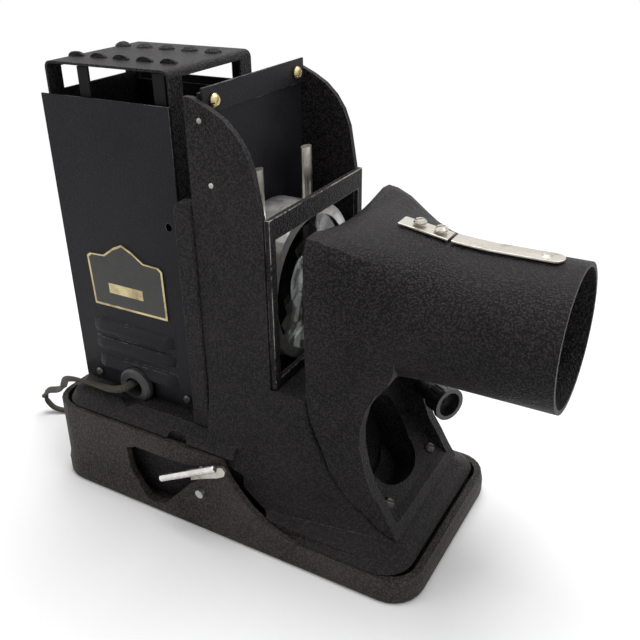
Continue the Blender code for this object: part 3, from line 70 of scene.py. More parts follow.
@dataclass
class NodeSheet:
    """A node tree with short ways to add and join nodes."""

    tree: bpy.types.NodeTree

    def add(self, kind: str, **settings: Any) -> bpy.types.Node:
        """Add a node.

        Args:
            kind: Blender's name of the node type.
            **settings: attributes set on the node.

        Returns:
            The new node.
        """
        node = self.tree.nodes.new(kind)
        for key, value in settings.items():
            setattr(node, key, value)
        return node

    def put(self, node: bpy.types.Node, **values: Any) -> bpy.types.Node:
        """Set a node's inputs, where spaces in their names are written as underscores.

        Args:
            node: the node.
            **values: a constant or an output socket for each input.

        Returns:
            The same node.
        """
        for key, value in values.items():
            socket = node.inputs[key.replace("_", " ")]
            if isinstance(value, bpy.types.NodeSocket):
                self.tree.links.new(value, socket)
            else:
                socket.default_value = value
        return node

    def join(self, start: bpy.types.NodeSocket, end: bpy.types.NodeSocket) -> None:
        """Link one socket to another."""
        self.tree.links.new(start, end)

    def math(self, operation: str, first: Any, second: Any = 0.0,
             clamp: bool = False) -> bpy.types.NodeSocket:
        """Add a Math node.

        Args:
            operation: the node's operation.
            first: a number or an output socket.
            second: a number or an output socket.
            clamp: keep the result from 0 to 1.

        Returns:
            The result's socket.
        """
        node = self.add("ShaderNodeMath", operation=operation, use_clamp=clamp)
        for socket, value in zip(node.inputs, (first, second)):
            if isinstance(value, bpy.types.NodeSocket):
                self.join(value, socket)
            else:
                socket.default_value = value
        return node.outputs[0]

    def spread(self, value: bpy.types.NodeSocket, low: float, high: float, to_low: float = 0.0,
               to_high: float = 1.0) -> bpy.types.NodeSocket:
        """Map a range of values onto another, clamped.

        Args:
            value: what to map.
            low: start of the range that is read.
            high: end of the range that is read.
            to_low: start of the range put out.
            to_high: end of the range put out.

        Returns:
            The mapped value's socket.
        """
        node = self.add("ShaderNodeMapRange")
        self.join(value, node.inputs["Value"])
        node.inputs["From Min"].default_value = low
        node.inputs["From Max"].default_value = high
        node.inputs["To Min"].default_value = to_low
        node.inputs["To Max"].default_value = to_high
        return node.outputs[0]

    def blend(self, factor: Any, first: Any, second: Any) -> bpy.types.NodeSocket:
        """Mix two colours.

        Args:
            factor: a number or an output socket.
            first: colour shown where the factor is 0.
            second: colour shown where the factor is 1.

        Returns:
            The mixed colour's socket.
        """
        node = self.add("ShaderNodeMix", data_type="RGBA")
        for socket, value in ((node.inputs[0], factor), (node.inputs[6], first), (node.inputs[7], second)):
            if isinstance(value, bpy.types.NodeSocket):
                self.join(value, socket)
            else:
                socket.default_value = value if isinstance(value, float) else (*value, 1.0)
        return node.outputs[2]

    def place(self) -> bpy.types.NodeSocket:
        """Object coordinates."""
        return self.add("ShaderNodeTexCoord").outputs["Object"]

    def noise(self, scale: Any, detail: float = 2.0, roughness: float = 0.5,
              place: bpy.types.NodeSocket | None = None) -> bpy.types.NodeSocket:
        """Add a noise pattern.

        Args:
            scale: features per metre, or a socket.
            detail: octaves of finer noise.
            roughness: strength of the finer noise.
            place: coordinates to read, Object ones by default.

        Returns:
            The noise value's socket.
        """
        node = self.add("ShaderNodeTexNoise")
        self.join(place or self.place(), node.inputs["Vector"])
        self.put(node, Scale=scale, Detail=detail, Roughness=roughness)
        return node.outputs[0]


@dataclass
class EffectLibrary:
    """Builds each shared shader group once."""

    def group(self, effect: Effect) -> bpy.types.NodeTree:
        """Return an effect's group.

        Args:
            effect: which effect.

        Returns:
            The node group, made on its first use.
        """
        found = bpy.data.node_groups.get(effect.value)
        if found:
            return found
        return {Effect.WRINKLE: self.wrinkle, Effect.MOTTLE: self.mottle, Effect.WEAR: self.wear,
                Effect.SCRATCH: self.scratch}[effect]()

    def start(self, effect: Effect,
              sockets: dict[str, float]) -> tuple[NodeSheet, bpy.types.Node, bpy.types.Node]:
        """Open a new group with float inputs and one value put out.

        Args:
            effect: which effect.
            sockets: the inputs' names and defaults.

        Returns:
            The sheet, the group's input node and its output node.
        """
        tree = bpy.data.node_groups.new(effect.value, "ShaderNodeTree")
        for name, value in sockets.items():
            given = tree.interface.new_socket(name, in_out="INPUT", socket_type="NodeSocketFloat")
            given.default_value = value
        tree.interface.new_socket("Value", in_out="OUTPUT", socket_type="NodeSocketFloat")
        sheet = NodeSheet(tree)
        return sheet, sheet.add("NodeGroupInput"), sheet.add("NodeGroupOutput")

    def part(self, sheet: NodeSheet, given: bpy.types.Node, out: bpy.types.Node,
             value: bpy.types.NodeSocket) -> bpy.types.NodeTree:
        """Put out a pattern, cut off between the group's inputs Low and High.

        Args:
            sheet: the group's sheet.
            given: its input node.
            out: its output node.
            value: the pattern.

        Returns:
            The finished group.
        """
        node = sheet.add("ShaderNodeMapRange")
        sheet.join(value, node.inputs["Value"])
        sheet.join(given.outputs["Low"], node.inputs["From Min"])
        sheet.join(given.outputs["High"], node.inputs["From Max"])
        sheet.join(node.outputs[0], out.inputs["Value"])
        return sheet.tree

    def wrinkle(self) -> bpy.types.NodeTree:
        """Raised crinkles of baked wrinkle paint."""
        sheet, given, out = self.start(Effect.WRINKLE, {"Scale": 1000.0, "Bend": 0.0009})
        bend = sheet.add("ShaderNodeTexNoise")
        sheet.join(sheet.place(), bend.inputs["Vector"])
        sheet.put(bend, Scale=given.outputs["Scale"], Detail=1.0)
        shift = sheet.add("ShaderNodeVectorMath", operation="SCALE")
        sheet.join(bend.outputs["Color"], shift.inputs[0])
        sheet.join(given.outputs["Bend"], shift.inputs["Scale"])
        moved = sheet.add("ShaderNodeVectorMath", operation="ADD")
        sheet.join(shift.outputs[0], moved.inputs[0])
        sheet.join(sheet.place(), moved.inputs[1])
        cells = sheet.add("ShaderNodeTexVoronoi", feature="SMOOTH_F1")
        sheet.join(moved.outputs[0], cells.inputs["Vector"])
        sheet.put(cells, Scale=given.outputs["Scale"], Smoothness=0.35)
        ridge = sheet.spread(cells.outputs["Distance"], 0.10, 0.70, 1.0, 0.0)
        coarse = sheet.noise(sheet.math("MULTIPLY", given.outputs["Scale"], 0.55), 2.0, 0.6)
        crinkle = sheet.math("ADD", sheet.math("MULTIPLY", ridge, 0.62), sheet.math("MULTIPLY", coarse, 0.55))
        sheet.join(crinkle, out.inputs["Value"])
        return sheet.tree

    def mottle(self) -> bpy.types.NodeTree:
        """Broad uneven patches, as of dust, tarnish or fading."""
        sheet, given, out = self.start(Effect.MOTTLE, {"Scale": 40.0, "Low": 0.42, "High": 0.66})
        cloud = sheet.noise(given.outputs["Scale"], 5.0, 0.62)
        return self.part(sheet, given, out, cloud)

    def wear(self) -> bpy.types.NodeTree:
        """Chips where paint has come off, in broken patches."""
        sheet, given, out = self.start(Effect.WEAR, {"Low": 0.50, "High": 0.58, "Scale": 420.0})
        chips = sheet.noise(given.outputs["Scale"], 3.0, 0.7)
        broad = sheet.noise(sheet.math("MULTIPLY", given.outputs["Scale"], 0.12), 2.0, 0.5)
        both = sheet.math("ADD", sheet.math("MULTIPLY", chips, 0.5), sheet.math("MULTIPLY", broad, 0.5))
        return self.part(sheet, given, out, both)

    def scratch(self) -> bpy.types.NodeTree:
        """Fine scratches drawn along the X axis."""
        sheet, given, out = self.start(Effect.SCRATCH, {"Scale": 60.0, "Low": 0.62, "High": 0.70})
        stretch = sheet.add("ShaderNodeMapping")
        sheet.join(sheet.place(), stretch.inputs["Vector"])
        stretch.inputs["Scale"].default_value = (1.0, 14.0, 14.0)
        lines = sheet.noise(given.outputs["Scale"], 4.0, 0.6, stretch.outputs[0])
        return self.part(sheet, given, out, lines)


EFFECTS = EffectLibrary()


def effect_value(sheet: NodeSheet, effect: Effect, **values: float) -> bpy.types.NodeSocket:
    """Place an effect group in a material.

    Args:
        sheet: the material's sheet.
        effect: which effect.
        **values: the group's inputs.

    Returns:
        The group's value.
    """
    node = sheet.add("ShaderNodeGroup", node_tree=EFFECTS.group(effect))
    sheet.put(node, **values)
    return node.outputs["Value"]


def open_material(name: str) -> tuple[bpy.types.Material, NodeSheet, bpy.types.Node]:
    """Start a material with its Principled shader.

    Args:
        name: the material's name.

    Returns:
        The material, its sheet and the shader.
    """
    material = bpy.data.materials.new(name)
    material.use_nodes = True
    sheet = NodeSheet(material.node_tree)
    return material, sheet, material.node_tree.nodes["Principled BSDF"]


class RubbedEdges:
    """A paint that has chips along its edges."""

    def edge(self, wear: float, low: float, high: float) -> bpy.types.Material:
        """Build the same paint as it is along edges, rubbed through in places.

        Args:
            wear: how bare the chips are, from 0 to 1.
            low: value of the chip pattern at which they start.
            high: value at which they are fully bare.

        Returns:
            The edge's material.
        """
        return replace(self, name=self.name + "_edge", wear=wear, worn_low=low, worn_high=high).material()


@dataclass(frozen=True)
class WrinklePaint(RubbedEdges):
    """Baked wrinkle paint over a casting."""

    name: str
    # The darker wrinkle colour is painted shade in the valleys; the lighter one below it is a painted sheen
    # on the crests.
    painted_valley_shade: tuple[float, float, float] = (0.0022, 0.0020, 0.0022)
    high: tuple[float, float, float] = (0.036, 0.031, 0.034)
    dust: tuple[float, float, float] = (0.075, 0.066, 0.066)
    bare: tuple[float, float, float] = (0.340, 0.325, 0.300)
    grain: float = 1250.0
    depth: float = 0.00042
    roughness: float = 0.44
    dust_share: float = 0.16
    worn_low: float = 0.60
    worn_high: float = 0.66
    wear: float = 0.0

    def material(self) -> bpy.types.Material:
        """Build the paint."""
        made, sheet, shader = open_material(self.name)
        height = effect_value(sheet, Effect.WRINKLE, Scale=self.grain)
        # Crests are painted lighter as sheen and valleys darker as shade, following the wrinkle height.
        sheen_and_shade_mask = sheet.spread(height, 0.40, 0.92)
        patches = effect_value(sheet, Effect.MOTTLE, Scale=22.0, Low=0.36, High=0.74)
        paint = sheet.blend(sheen_and_shade_mask, self.painted_valley_shade, self.high)
        colour = sheet.blend(sheet.math("MULTIPLY", patches, self.dust_share), paint, self.dust)
        if self.wear:
            chips = effect_value(sheet, Effect.WEAR, Low=self.worn_low, High=self.worn_high, Scale=380.0)
            colour = sheet.blend(sheet.math("MULTIPLY", chips, self.wear), colour, self.bare)
        shine = sheet.math("ADD", sheet.math("MULTIPLY", patches, 0.12), self.roughness)
        bump = sheet.add("ShaderNodeBump")
        sheet.put(bump, Height=height, Strength=0.9, Distance=self.depth)
        sheet.put(shader, Base_Color=colour, Roughness=shine, Normal=bump.outputs[0])
        shader.inputs["Specular IOR Level"].default_value = 0.12
        return made


@dataclass(frozen=True)
class EnamelPaint(RubbedEdges):
    """Satin enamel on sheet metal with a fine orange-peel grain."""

    name: str
    colour: tuple[float, float, float] = (0.0085, 0.0082, 0.0105)
    # The lighter enamel colour is partly random fading and partly a painted sheen on the peaks of the
    # orange-peel grain.
    faded_and_peel_sheen: tuple[float, float, float] = (0.022, 0.0205, 0.024)
    bare: tuple[float, float, float] = (0.260, 0.245, 0.225)
    roughness: float = 0.40
    grain: float = 1300.0
    relief: float = 0.00016
    worn_low: float = 0.60
    worn_high: float = 0.66
    wear: float = 0.0

    def material(self) -> bpy.types.Material:
        """Build the enamel."""
        made, sheet, shader = open_material(self.name)
        patches = effect_value(sheet, Effect.MOTTLE, Scale=28.0, Low=0.34, High=0.72)
        lines = effect_value(sheet, Effect.SCRATCH, Scale=42.0, Low=0.70, High=0.78)
        peel = effect_value(sheet, Effect.WRINKLE, Scale=self.grain)
        # Tone mixes random fading patches with a painted sheen that lightens the peaks of the peel.
        tone = sheet.math("ADD", sheet.math("MULTIPLY", patches, 0.45),
                          sheet.math("MULTIPLY", sheet.spread(peel, 0.55, 0.9), 0.55), True)
        paint = sheet.blend(tone, self.colour, self.faded_and_peel_sheen)
        colour = sheet.blend(sheet.math("MULTIPLY", lines, 0.10), paint, self.bare)
        if self.wear:
            chips = effect_value(sheet, Effect.WEAR, Low=self.worn_low, High=self.worn_high, Scale=450.0)
            colour = sheet.blend(sheet.math("MULTIPLY", chips, self.wear), colour, self.bare)
        shine = sheet.math("ADD", sheet.math("MULTIPLY", patches, 0.12), self.roughness)
        bump = sheet.add("ShaderNodeBump")
        sheet.put(bump, Height=peel, Strength=0.7, Distance=self.relief)
        sheet.put(shader, Base_Color=colour, Roughness=shine, Normal=bump.outputs[0])
        shader.inputs["Specular IOR Level"].default_value = 0.12
        return made


@dataclass(frozen=True)
class OldMetal:
    """Bare or plated metal with tarnish and rubbing marks."""

    name: str
    colour: tuple[float, float, float]
    tarnish: tuple[float, float, float]
    roughness: float = 0.26
    tarnish_share: float = 0.7
    scale: float = 120.0
    low: float = 0.44
    high: float = 0.66

    def material(self) -> bpy.types.Material:
        """Build the metal."""
        made, sheet, shader = open_material(self.name)
        spots = effect_value(sheet, Effect.MOTTLE, Scale=self.scale, Low=self.low, High=self.high)
        lines = effect_value(sheet, Effect.SCRATCH, Scale=150.0, Low=0.52, High=0.72)
        dull = sheet.math("MULTIPLY", spots, self.tarnish_share)
        shine = sheet.math("ADD", sheet.math("MULTIPLY", dull, 0.36), sheet.math("MULTIPLY", lines, 0.10))
        relief = sheet.math("ADD", lines, sheet.noise(900.0, 2.0))
        bump = sheet.add("ShaderNodeBump")
        sheet.put(bump, Height=relief, Strength=0.12, Distance=0.0001)
        sheet.put(shader, Base_Color=sheet.blend(dull, self.colour, self.tarnish),
                  Roughness=sheet.math("ADD", shine, self.roughness), Normal=bump.outputs[0])
        shader.inputs["Metallic"].default_value = 1.0
        return made


@dataclass(frozen=True)
class PlainFinish:
    """Moulded, fired or printed surface without metal, slightly uneven."""

    name: str
    colour: tuple[float, float, float]
    second: tuple[float, float, float]
    roughness: float = 0.35
    scale: float = 160.0
    relief: float = 0.12

    def material(self) -> bpy.types.Material:
        """Build the finish."""
        made, sheet, shader = open_material(self.name)
        patches = effect_value(sheet, Effect.MOTTLE, Scale=self.scale, Low=0.38, High=0.70)
        bump = sheet.add("ShaderNodeBump")
        sheet.put(bump, Height=sheet.noise(1400.0, 3.0), Strength=self.relief, Distance=0.0002)
        mixed = sheet.math("MULTIPLY", patches, 0.8)
        sheet.put(shader, Base_Color=sheet.blend(mixed, self.colour, self.second),
                  Roughness=sheet.math("ADD", sheet.math("MULTIPLY", patches, 0.15), self.roughness),
                  Normal=bump.outputs[0])
        return made


@dataclass(frozen=True)
class ClearGlass:
    """Ground and polished glass with a little dust."""

    name: str
    tint: tuple[float, float, float] = (0.96, 0.98, 0.97)
    roughness: float = 0.02

    def material(self) -> bpy.types.Material:
        """Build the glass."""
        made, sheet, shader = open_material(self.name)
        dust = effect_value(sheet, Effect.MOTTLE, Scale=300.0, Low=0.50, High=0.80)
        sheet.put(shader, Roughness=sheet.math("ADD", sheet.math("MULTIPLY", dust, 0.10), self.roughness),
                  Base_Color=sheet.blend(sheet.math("MULTIPLY", dust, 0.15), self.tint, (0.80, 0.80, 0.78)))
        shader.inputs["Transmission Weight"].default_value = 1.0
        shader.inputs["IOR"].default_value = 1.5
        return made


@dataclass(frozen=True)
class BraidedLead:
    """Woven cotton over a twin lead, read along and round the lead."""

    name: str
    dark: tuple[float, float, float] = (0.016, 0.015, 0.011)
    light: tuple[float, float, float] = (0.075, 0.069, 0.050)
    threads: float = 2600.0
    round_threads: float = 56.0

    def material(self) -> bpy.types.Material:
        """Build the braid."""
        made, sheet, shader = open_material(self.name)
        spot = sheet.add("ShaderNodeUVMap", uv_map="lead_map")
        parts = sheet.add("ShaderNodeSeparateXYZ")
        sheet.join(spot.outputs[0], parts.inputs[0])
        along = sheet.math("MULTIPLY", parts.outputs[0], self.threads)
        around = sheet.math("MULTIPLY", parts.outputs[1], self.round_threads)
        first = sheet.math("SINE", sheet.math("ADD", along, around))
        second = sheet.math("SINE", sheet.math("SUBTRACT", along, around))
        weave = sheet.spread(sheet.math("MULTIPLY", first, second), -0.8, 0.8)
        worn = effect_value(sheet, Effect.MOTTLE, Scale=90.0, Low=0.35, High=0.72)
        tone = sheet.math("ADD", sheet.math("MULTIPLY", weave, 0.55), sheet.math("MULTIPLY", worn, 0.45),
                          True)
        bump = sheet.add("ShaderNodeBump")
        sheet.put(bump, Height=weave, Strength=0.8, Distance=0.00022)
        sheet.put(shader, Base_Color=sheet.blend(tone, self.dark, self.light), Normal=bump.outputs[0],
                  Roughness=sheet.spread(worn, 0.0, 1.0, 0.62, 0.78))
        shader.inputs["Specular IOR Level"].default_value = 0.3
        return made


class Palette:
    """Every finish of the projector, built once."""

    def __init__(self) -> None:
        """Build the materials."""
        body = WrinklePaint("body_wrinkle")
        # The base's two wrinkle colours hold the same painted shade in the valleys and painted sheen on the
        # crests.
        base = WrinklePaint("base_wrinkle", painted_valley_shade=(0.010, 0.0085, 0.0080), high=(0.066, 0.056, 0.054),
                            dust=(0.120, 0.104, 0.094), grain=1050.0, roughness=0.50, dust_share=0.30)
        panel = EnamelPaint("panel_enamel")
        # The inner black's lighter colour is likewise partly fading and partly painted sheen on the peel
        # peaks.
        inside = EnamelPaint("inner_black", colour=(0.0030, 0.0030, 0.0036), faded_and_peel_sheen=(0.010, 0.010, 0.012),
                             roughness=0.50)
        self.body = body.material()
        self.body_edge = body.edge(0.75, 0.46, 0.56)
        self.base = base.material()
        self.base_edge = base.edge(0.45, 0.50, 0.60)
        self.panel = panel.material()
        self.panel_edge = panel.edge(0.55, 0.50, 0.60)
        self.inside = inside.material()
        self.chrome = OldMetal("chrome_plate", (0.78, 0.77, 0.75), (0.40, 0.36, 0.31), 0.16, 0.5).material()
        self.nickel = OldMetal("nickel_plate", (0.56, 0.53, 0.48), (0.22, 0.19, 0.15), 0.30, 0.8).material()
        self.aluminium = OldMetal("dull_aluminium", (0.56, 0.56, 0.55), (0.20, 0.18, 0.16), 0.30, 0.7,
                                  90.0).material()
        self.brass = OldMetal("worn_brass", (0.56, 0.47, 0.27), (0.24, 0.19, 0.11), 0.30, 0.7).material()
        self.steel = OldMetal("plain_steel", (0.46, 0.45, 0.43), (0.12, 0.10, 0.09), 0.34, 0.8).material()
        self.dark_steel = OldMetal("blacked_steel", (0.10, 0.095, 0.09), (0.022, 0.020, 0.019), 0.38,
                                   0.9).material()
        self.mirror = OldMetal("mirror_silver", (0.88, 0.88, 0.90), (0.55, 0.54, 0.52), 0.05, 0.3).material()
        self.knob = PlainFinish("knob_moulding", (0.006, 0.006, 0.006), (0.026, 0.024, 0.022),
                                0.24).material()
        self.grommet = PlainFinish("grommet_moulding", (0.010, 0.010, 0.0105), (0.060, 0.057, 0.054),
                                   0.46).material()
        self.plug = PlainFinish("plug_moulding", (0.010, 0.009, 0.009), (0.030, 0.028, 0.026),
                                0.34).material()
        self.ceramic = PlainFinish("fired_ceramic", (0.70, 0.66, 0.58), (0.52, 0.47, 0.40), 0.55).material()
        self.plate = PlainFinish("plate_black", (0.006, 0.006, 0.006), (0.020, 0.018, 0.015), 0.26).material()
        self.lead = BraidedLead("lead_braid").material()
        self.glass = ClearGlass("lens_glass").material()


def dress(node: str, material: bpy.types.Material) -> None:
    """Give a carried CAD node its material.

    Args:
        node: the node's name.
        material: the finish.
    """
    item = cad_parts[node]
    item.data.materials.clear()
    item.data.materials.append(material)
    log.info("dressed %s with %s", node, material.name)


def settle(bm: bmesh.types.BMesh, name: str, body: Body, material: bpy.types.Material,
           angle: float = 35.0) -> bpy.types.Object:
    """Turn a bmesh into a finished piece that rides on a body.

    Args:
        bm: the mesh, in the row frame.
        name: the piece's name.
        body: what it rides on.
        material: the finish.
        angle: edges sharper than this stay sharp.

    Returns:
        The piece.
    """
    bmesh.ops.remove_doubles(bm, verts=bm.verts, dist=0.000001)
    bmesh.ops.recalc_face_normals(bm, faces=bm.faces)
    mesh = bpy.data.meshes.new(name)
    bm.to_mesh(mesh)
    bm.free()
    mesh.shade_smooth()
    mesh.set_sharp_from_angle(angle=math.radians(angle))
    mesh.materials.append(material)
    item = bpy.data.objects.new(name, mesh)
    bpy.context.scene.collection.objects.link(item)
    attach(item, body.value)
    log.info("built %s on %s", name, body.value)
    return item


def carve(mesh: bpy.types.Mesh, tool: bmesh.types.BMesh) -> bpy.types.Mesh:
    """Cut a tool's shape out of a mesh.

    Args:
        mesh: the mesh that is cut.
        tool: the closed shape that is taken away; it is freed.

    Returns:
        The cut mesh.
    """
    shape = bpy.data.meshes.new("carving_tool")
    tool.to_mesh(shape)
    tool.free()
    work = bpy.data.objects.new("carving_work", mesh)
    cutter = bpy.data.objects.new("carving_tool", shape)
    for item in (work, cutter):
        bpy.context.scene.collection.objects.link(item)
    step = work.modifiers.new("carve", "BOOLEAN")
    step.operation = "DIFFERENCE"
    step.object = cutter
    step.solver = "EXACT"
    bpy.context.view_layer.update()
    result = bpy.data.meshes.new_from_object(work.evaluated_get(bpy.context.evaluated_depsgraph_get()))
    for item in (work, cutter):
        bpy.data.objects.remove(item)
    return result


@dataclass(frozen=True)
class AirHole:
    """Elliptical hole under the snout, square to the slope of the foot."""

    half_long: float = 0.0174
    half_wide: float = 0.0208
    depth: float = 0.0280
    sunk: float = 0.0050
    segments: int = 56
    middle: tuple[float, float, float] = (0.0636, 0.0, 0.0455)
    along: tuple[float, float, float] = (0.454, 0.0, -0.891)
    out: tuple[float, float, float] = (0.891, 0.0, 0.454)

    def tool(self) -> bmesh.types.BMesh:
        """The closed shape that is taken out of the castings."""
        bm = bmesh.new()
        bmesh.ops.create_cone(bm, cap_ends=True, segments=self.segments, radius1=1.0, radius2=1.0,
                              depth=self.depth)
        bmesh.ops.scale(bm, vec=(self.half_long, self.half_wide, 1.0), verts=bm.verts)
        turn = Matrix((Vector(self.along), Vector((0, 1, 0)), Vector(self.out))).transposed()
        bmesh.ops.rotate(bm, matrix=turn, verts=bm.verts)
        bmesh.ops.translate(bm, vec=Vector(self.middle) - Vector(self.out) * self.sunk, verts=bm.verts)
        return bm


def soften(node: str, width: float, material: bpy.types.Material, body: Body, segments: int = 2,
           angle: float = 30.0, edge: bpy.types.Material | None = None,
           tool: bmesh.types.BMesh | None = None) -> bpy.types.Object:
    """Stand a copy with rounded edges in for a CAD node.

    Args:
        node: the CAD node.
        width: how far each edge is cut back, in metres.
        material: the finish.
        body: what it rides on.
        segments: faces across each rounded edge.
        angle: edges sharper than this are rounded.
        edge: finish of the rounded edges, where it differs.
        tool: shape that is cut away first.

    Returns:
        The new piece.
    """
    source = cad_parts[node]
    bm = bmesh.new()
    bm.from_mesh(source.data)
    bmesh.ops.remove_doubles(bm, verts=bm.verts, dist=0.000005)
    bmesh.ops.dissolve_limit(bm, angle_limit=math.radians(1.0), verts=bm.verts, edges=bm.edges)
    mesh = bpy.data.meshes.new(node + "_finished")
    bm.to_mesh(mesh)
    bm.free()
    if tool:
        mesh = carve(mesh, tool)
    mesh.shade_smooth()
    mesh.set_sharp_from_angle(angle=math.radians(angle))
    mesh.materials.clear()
    mesh.materials.append(material)
    item = bpy.data.objects.new(node + "_finished", mesh)
    bpy.context.scene.collection.objects.link(item)
    bevel = item.modifiers.new("rounded_edges", "BEVEL")
    bevel.limit_method = "ANGLE"
    bevel.angle_limit = math.radians(angle)
    bevel.width = width
    bevel.segments = segments
    bevel.harden_normals = True
    bevel.use_clamp_overlap = True
    if edge:
        mesh.materials.append(edge)
        bevel.material = 1
    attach(item, body.value)
    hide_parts(node)
    log.info("rounded %s", node)
    return item


def outline_face(bm: bmesh.types.BMesh, points: list[tuple[float, float]], y: float) -> bmesh.types.BMFace:
    """Make one flat face in a plane of constant Y.

    Args:
        bm: the mesh.
        points: corners as (x, z).
        y: the plane.

    Returns:
        The face.
    """
    return bm.faces.new([bm.verts.new((x, y, z)) for x, z in points])


def raise_face(bm: bmesh.types.BMesh, face: bmesh.types.BMFace, move: Vector) -> None:
    """Extrude a face into a solid.

    Args:
        bm: the mesh.
        face: the face.
        move: how far it goes.
    """
    made = bmesh.ops.extrude_face_region(bm, geom=[face])
    bmesh.ops.translate(bm, vec=move, verts=[g for g in made["geom"] if isinstance(g, bmesh.types.BMVert)])


@dataclass
class CordAssembly:
    """Twin lead from the grommet to the coil behind the projector, with its plug."""

    width: float = 0.0037
    rest: float = 0.00148
    coil_x: float = -0.0400
    coil_y: float = 0.1040
    coil_outer: float = 0.0325
    coil_pitch: float = 0.0042
    coil_dip: float = 0.0010
    coil_turns: float = 5.5
    coil_steps: int = 24
    gap: float = 0.0003
    smoothing: int = 16
    corners: int = 16
    lobe: float = 0.00100
    lobe_offset: float = 0.00082
    table: float = 0.0120
    lean_in_air: float = math.radians(55)
    lean_on_table: float = math.radians(8)
    twist: float = 60.0
    plug_body: float = 0.0375

    def route(self) -> list[tuple[float, float, float]]:
        """The lead's points from the grommet to the start of its coil."""
        points = [(-0.0519, -0.0250, 0.0561), (-0.0520, -0.0335, 0.0560), (-0.0541, -0.0380, 0.0552),
                  (-0.0600, -0.0392, 0.0540), (-0.0690, -0.0383, 0.0529), (-0.0790, -0.0377, 0.0519),
                  (-0.0875, -0.0366, 0.0500), (-0.0960, -0.0335, 0.0456), (-0.1045, -0.0280, 0.0378),
                  (-0.1140, -0.0215, 0.0288), (-0.1250, -0.0165, 0.0215), (-0.1350, -0.0140, 0.0165),
                  (-0.1410, -0.0125, 0.0100), (-0.1375, -0.0110, 0.0032), (-0.1310, -0.0082, 0.00148),
                  (-0.1272, -0.0020, 0.00148), (-0.1250, 0.0070, 0.00148), (-0.1205, 0.0180, 0.00148),
                  (-0.1140, 0.0310, 0.00148), (-0.1060, 0.0440, 0.00148), (-0.0960, 0.0570, 0.00148),
                  (-0.0820, 0.0670, 0.00148), (-0.0660, 0.0708, 0.00148), (-0.0545, 0.0715, 0.00148)]
        return points + [(self.coil_x - self.width - self.gap, self.coil_y - self.coil_outer, self.rest)]

    def smooth(self, points: list[tuple[float, float, float]]) -> list[Vector]:
        """Run a smooth curve through points.

        Args:
            points: the points that the curve passes.

        Returns:
            Closely spaced points along the curve.
        """
        spots = [Vector(point) for point in points]
        spots = [spots[0] * 2 - spots[1]] + spots + [spots[-1] * 2 - spots[-2]]
        fine = []
        for index in range(1, len(spots) - 2):
            before, start, end, after = spots[index - 1:index + 3]
            for step in range(self.smoothing):
                t = step / self.smoothing
                square = (2 * before - 5 * start + 4 * end - after) * t * t
                cube = (3 * start - before - 3 * end + after) * t ** 3
                fine.append(0.5 * (2 * start + (end - before) * t + square + cube))
        fine.append(spots[-2])
        return fine

    def coil(self) -> list[Vector]:
        """In along the table, up in half a turn, and out again on top."""
        inner = self.coil_outer - self.coil_pitch * self.coil_turns
        steps = int(self.coil_turns * self.coil_steps)
        places = []
        for step in range(steps + 1):
            turn = step / self.coil_steps
            places.append((turn, self.coil_outer - self.coil_pitch * turn, self.rest))
        for step in range(1, self.coil_steps // 2 + 1):
            share = step / (self.coil_steps / 2)
            rise = share * share * (3 - 2 * share)
            places.append((self.coil_turns + share / 2, inner - self.coil_dip * math.sin(math.pi * share),
                           self.rest + self.coil_pitch * rise))
        for step in range(1, steps + 1):
            turn = step / self.coil_steps
            places.append((self.coil_turns + 0.5 + turn, inner + self.coil_pitch * turn,
                           self.rest + self.coil_pitch))
        points = [Vector((self.coil_x - self.width, self.coil_y - self.coil_outer, self.rest))]
        for turn, radius, height in places:
            angle = math.tau * turn - math.pi / 2
            points.append(Vector((self.coil_x + radius * math.cos(angle),
                                  self.coil_y + radius * math.sin(angle), height)))
        points.append(points[-1] - Vector((self.width, 0, 0)))
        return points

    def section(self, spot: Vector, ahead: Vector, lean: float) -> list[Vector]:
        """Corners of the lead's figure of eight at one place, kept above the table.

        Args:
            spot: a point of the middle line.
            ahead: the lead's direction there.
            lean: how far the pair is turned about it, in radians.

        Returns:
            The corners in order.
        """
        side = ahead.cross(Vector((0, 0, 1)))
        side = side.normalized() if side.length > 0.05 else Vector((0, 1, 0))
        up = side.cross(ahead).normalized()
        wide = side * math.cos(lean) + up * math.sin(lean)
        thin = up * math.cos(lean) - side * math.sin(lean)
        places = []
        for corner in range(self.corners):
            angle = math.tau * corner / self.corners
            c, t = math.cos(angle), math.sin(angle)
            apart = math.copysign(self.lobe_offset, c) * min(1.0, abs(c) * 3)
            waist = 0.72 + 0.28 * min(1.0, abs(c) * 2)
            place = spot + wide * (apart + self.lobe * c) + thin * (self.lobe * t * waist)
            place.z = max(place.z, 0.0001)
            places.append(place)
        return places

    def tube(self, points: list[Vector]) -> bmesh.types.BMesh:
        """Sweep a figure of eight along the lead, one lobe for each conductor.

        Args:
            points: the lead's middle line.

        Returns:
            The mesh, with how far along and round the lead each corner lies.
        """
        bm = bmesh.new()
        lead_map = bm.loops.layers.uv.new("lead_map")
        rings, reach, travelled = [], [], 0.0
        for index, spot in enumerate(points):
            ahead = (points[min(index + 1, len(points) - 1)] - points[max(index - 1, 0)]).normalized()
            travelled += (spot - points[index - 1]).length if index else 0.0
            lean = self.lean_on_table
            if spot.z > self.table:
                lean = self.lean_in_air * math.cos(travelled * self.twist)
            ring = [bm.verts.new(place) for place in self.section(spot, ahead, lean)]
            rings.append(ring)
            reach.append(travelled)
        count = self.corners
        for index, (first, second) in enumerate(zip(rings, rings[1:])):
            for corner in range(count):
                after = (corner + 1) % count
                face = bm.faces.new((first[corner], first[after], second[after], second[corner]))
                spans = ((reach[index], corner), (reach[index], corner + 1), (reach[index + 1], corner + 1),
                         (reach[index + 1], corner))
                for loop, (along, turn) in zip(face.loops, spans):
                    loop[lead_map].uv = (along, turn / count)
        bm.faces.new(rings[0][::-1])
        bm.faces.new(rings[-1])
        return bm

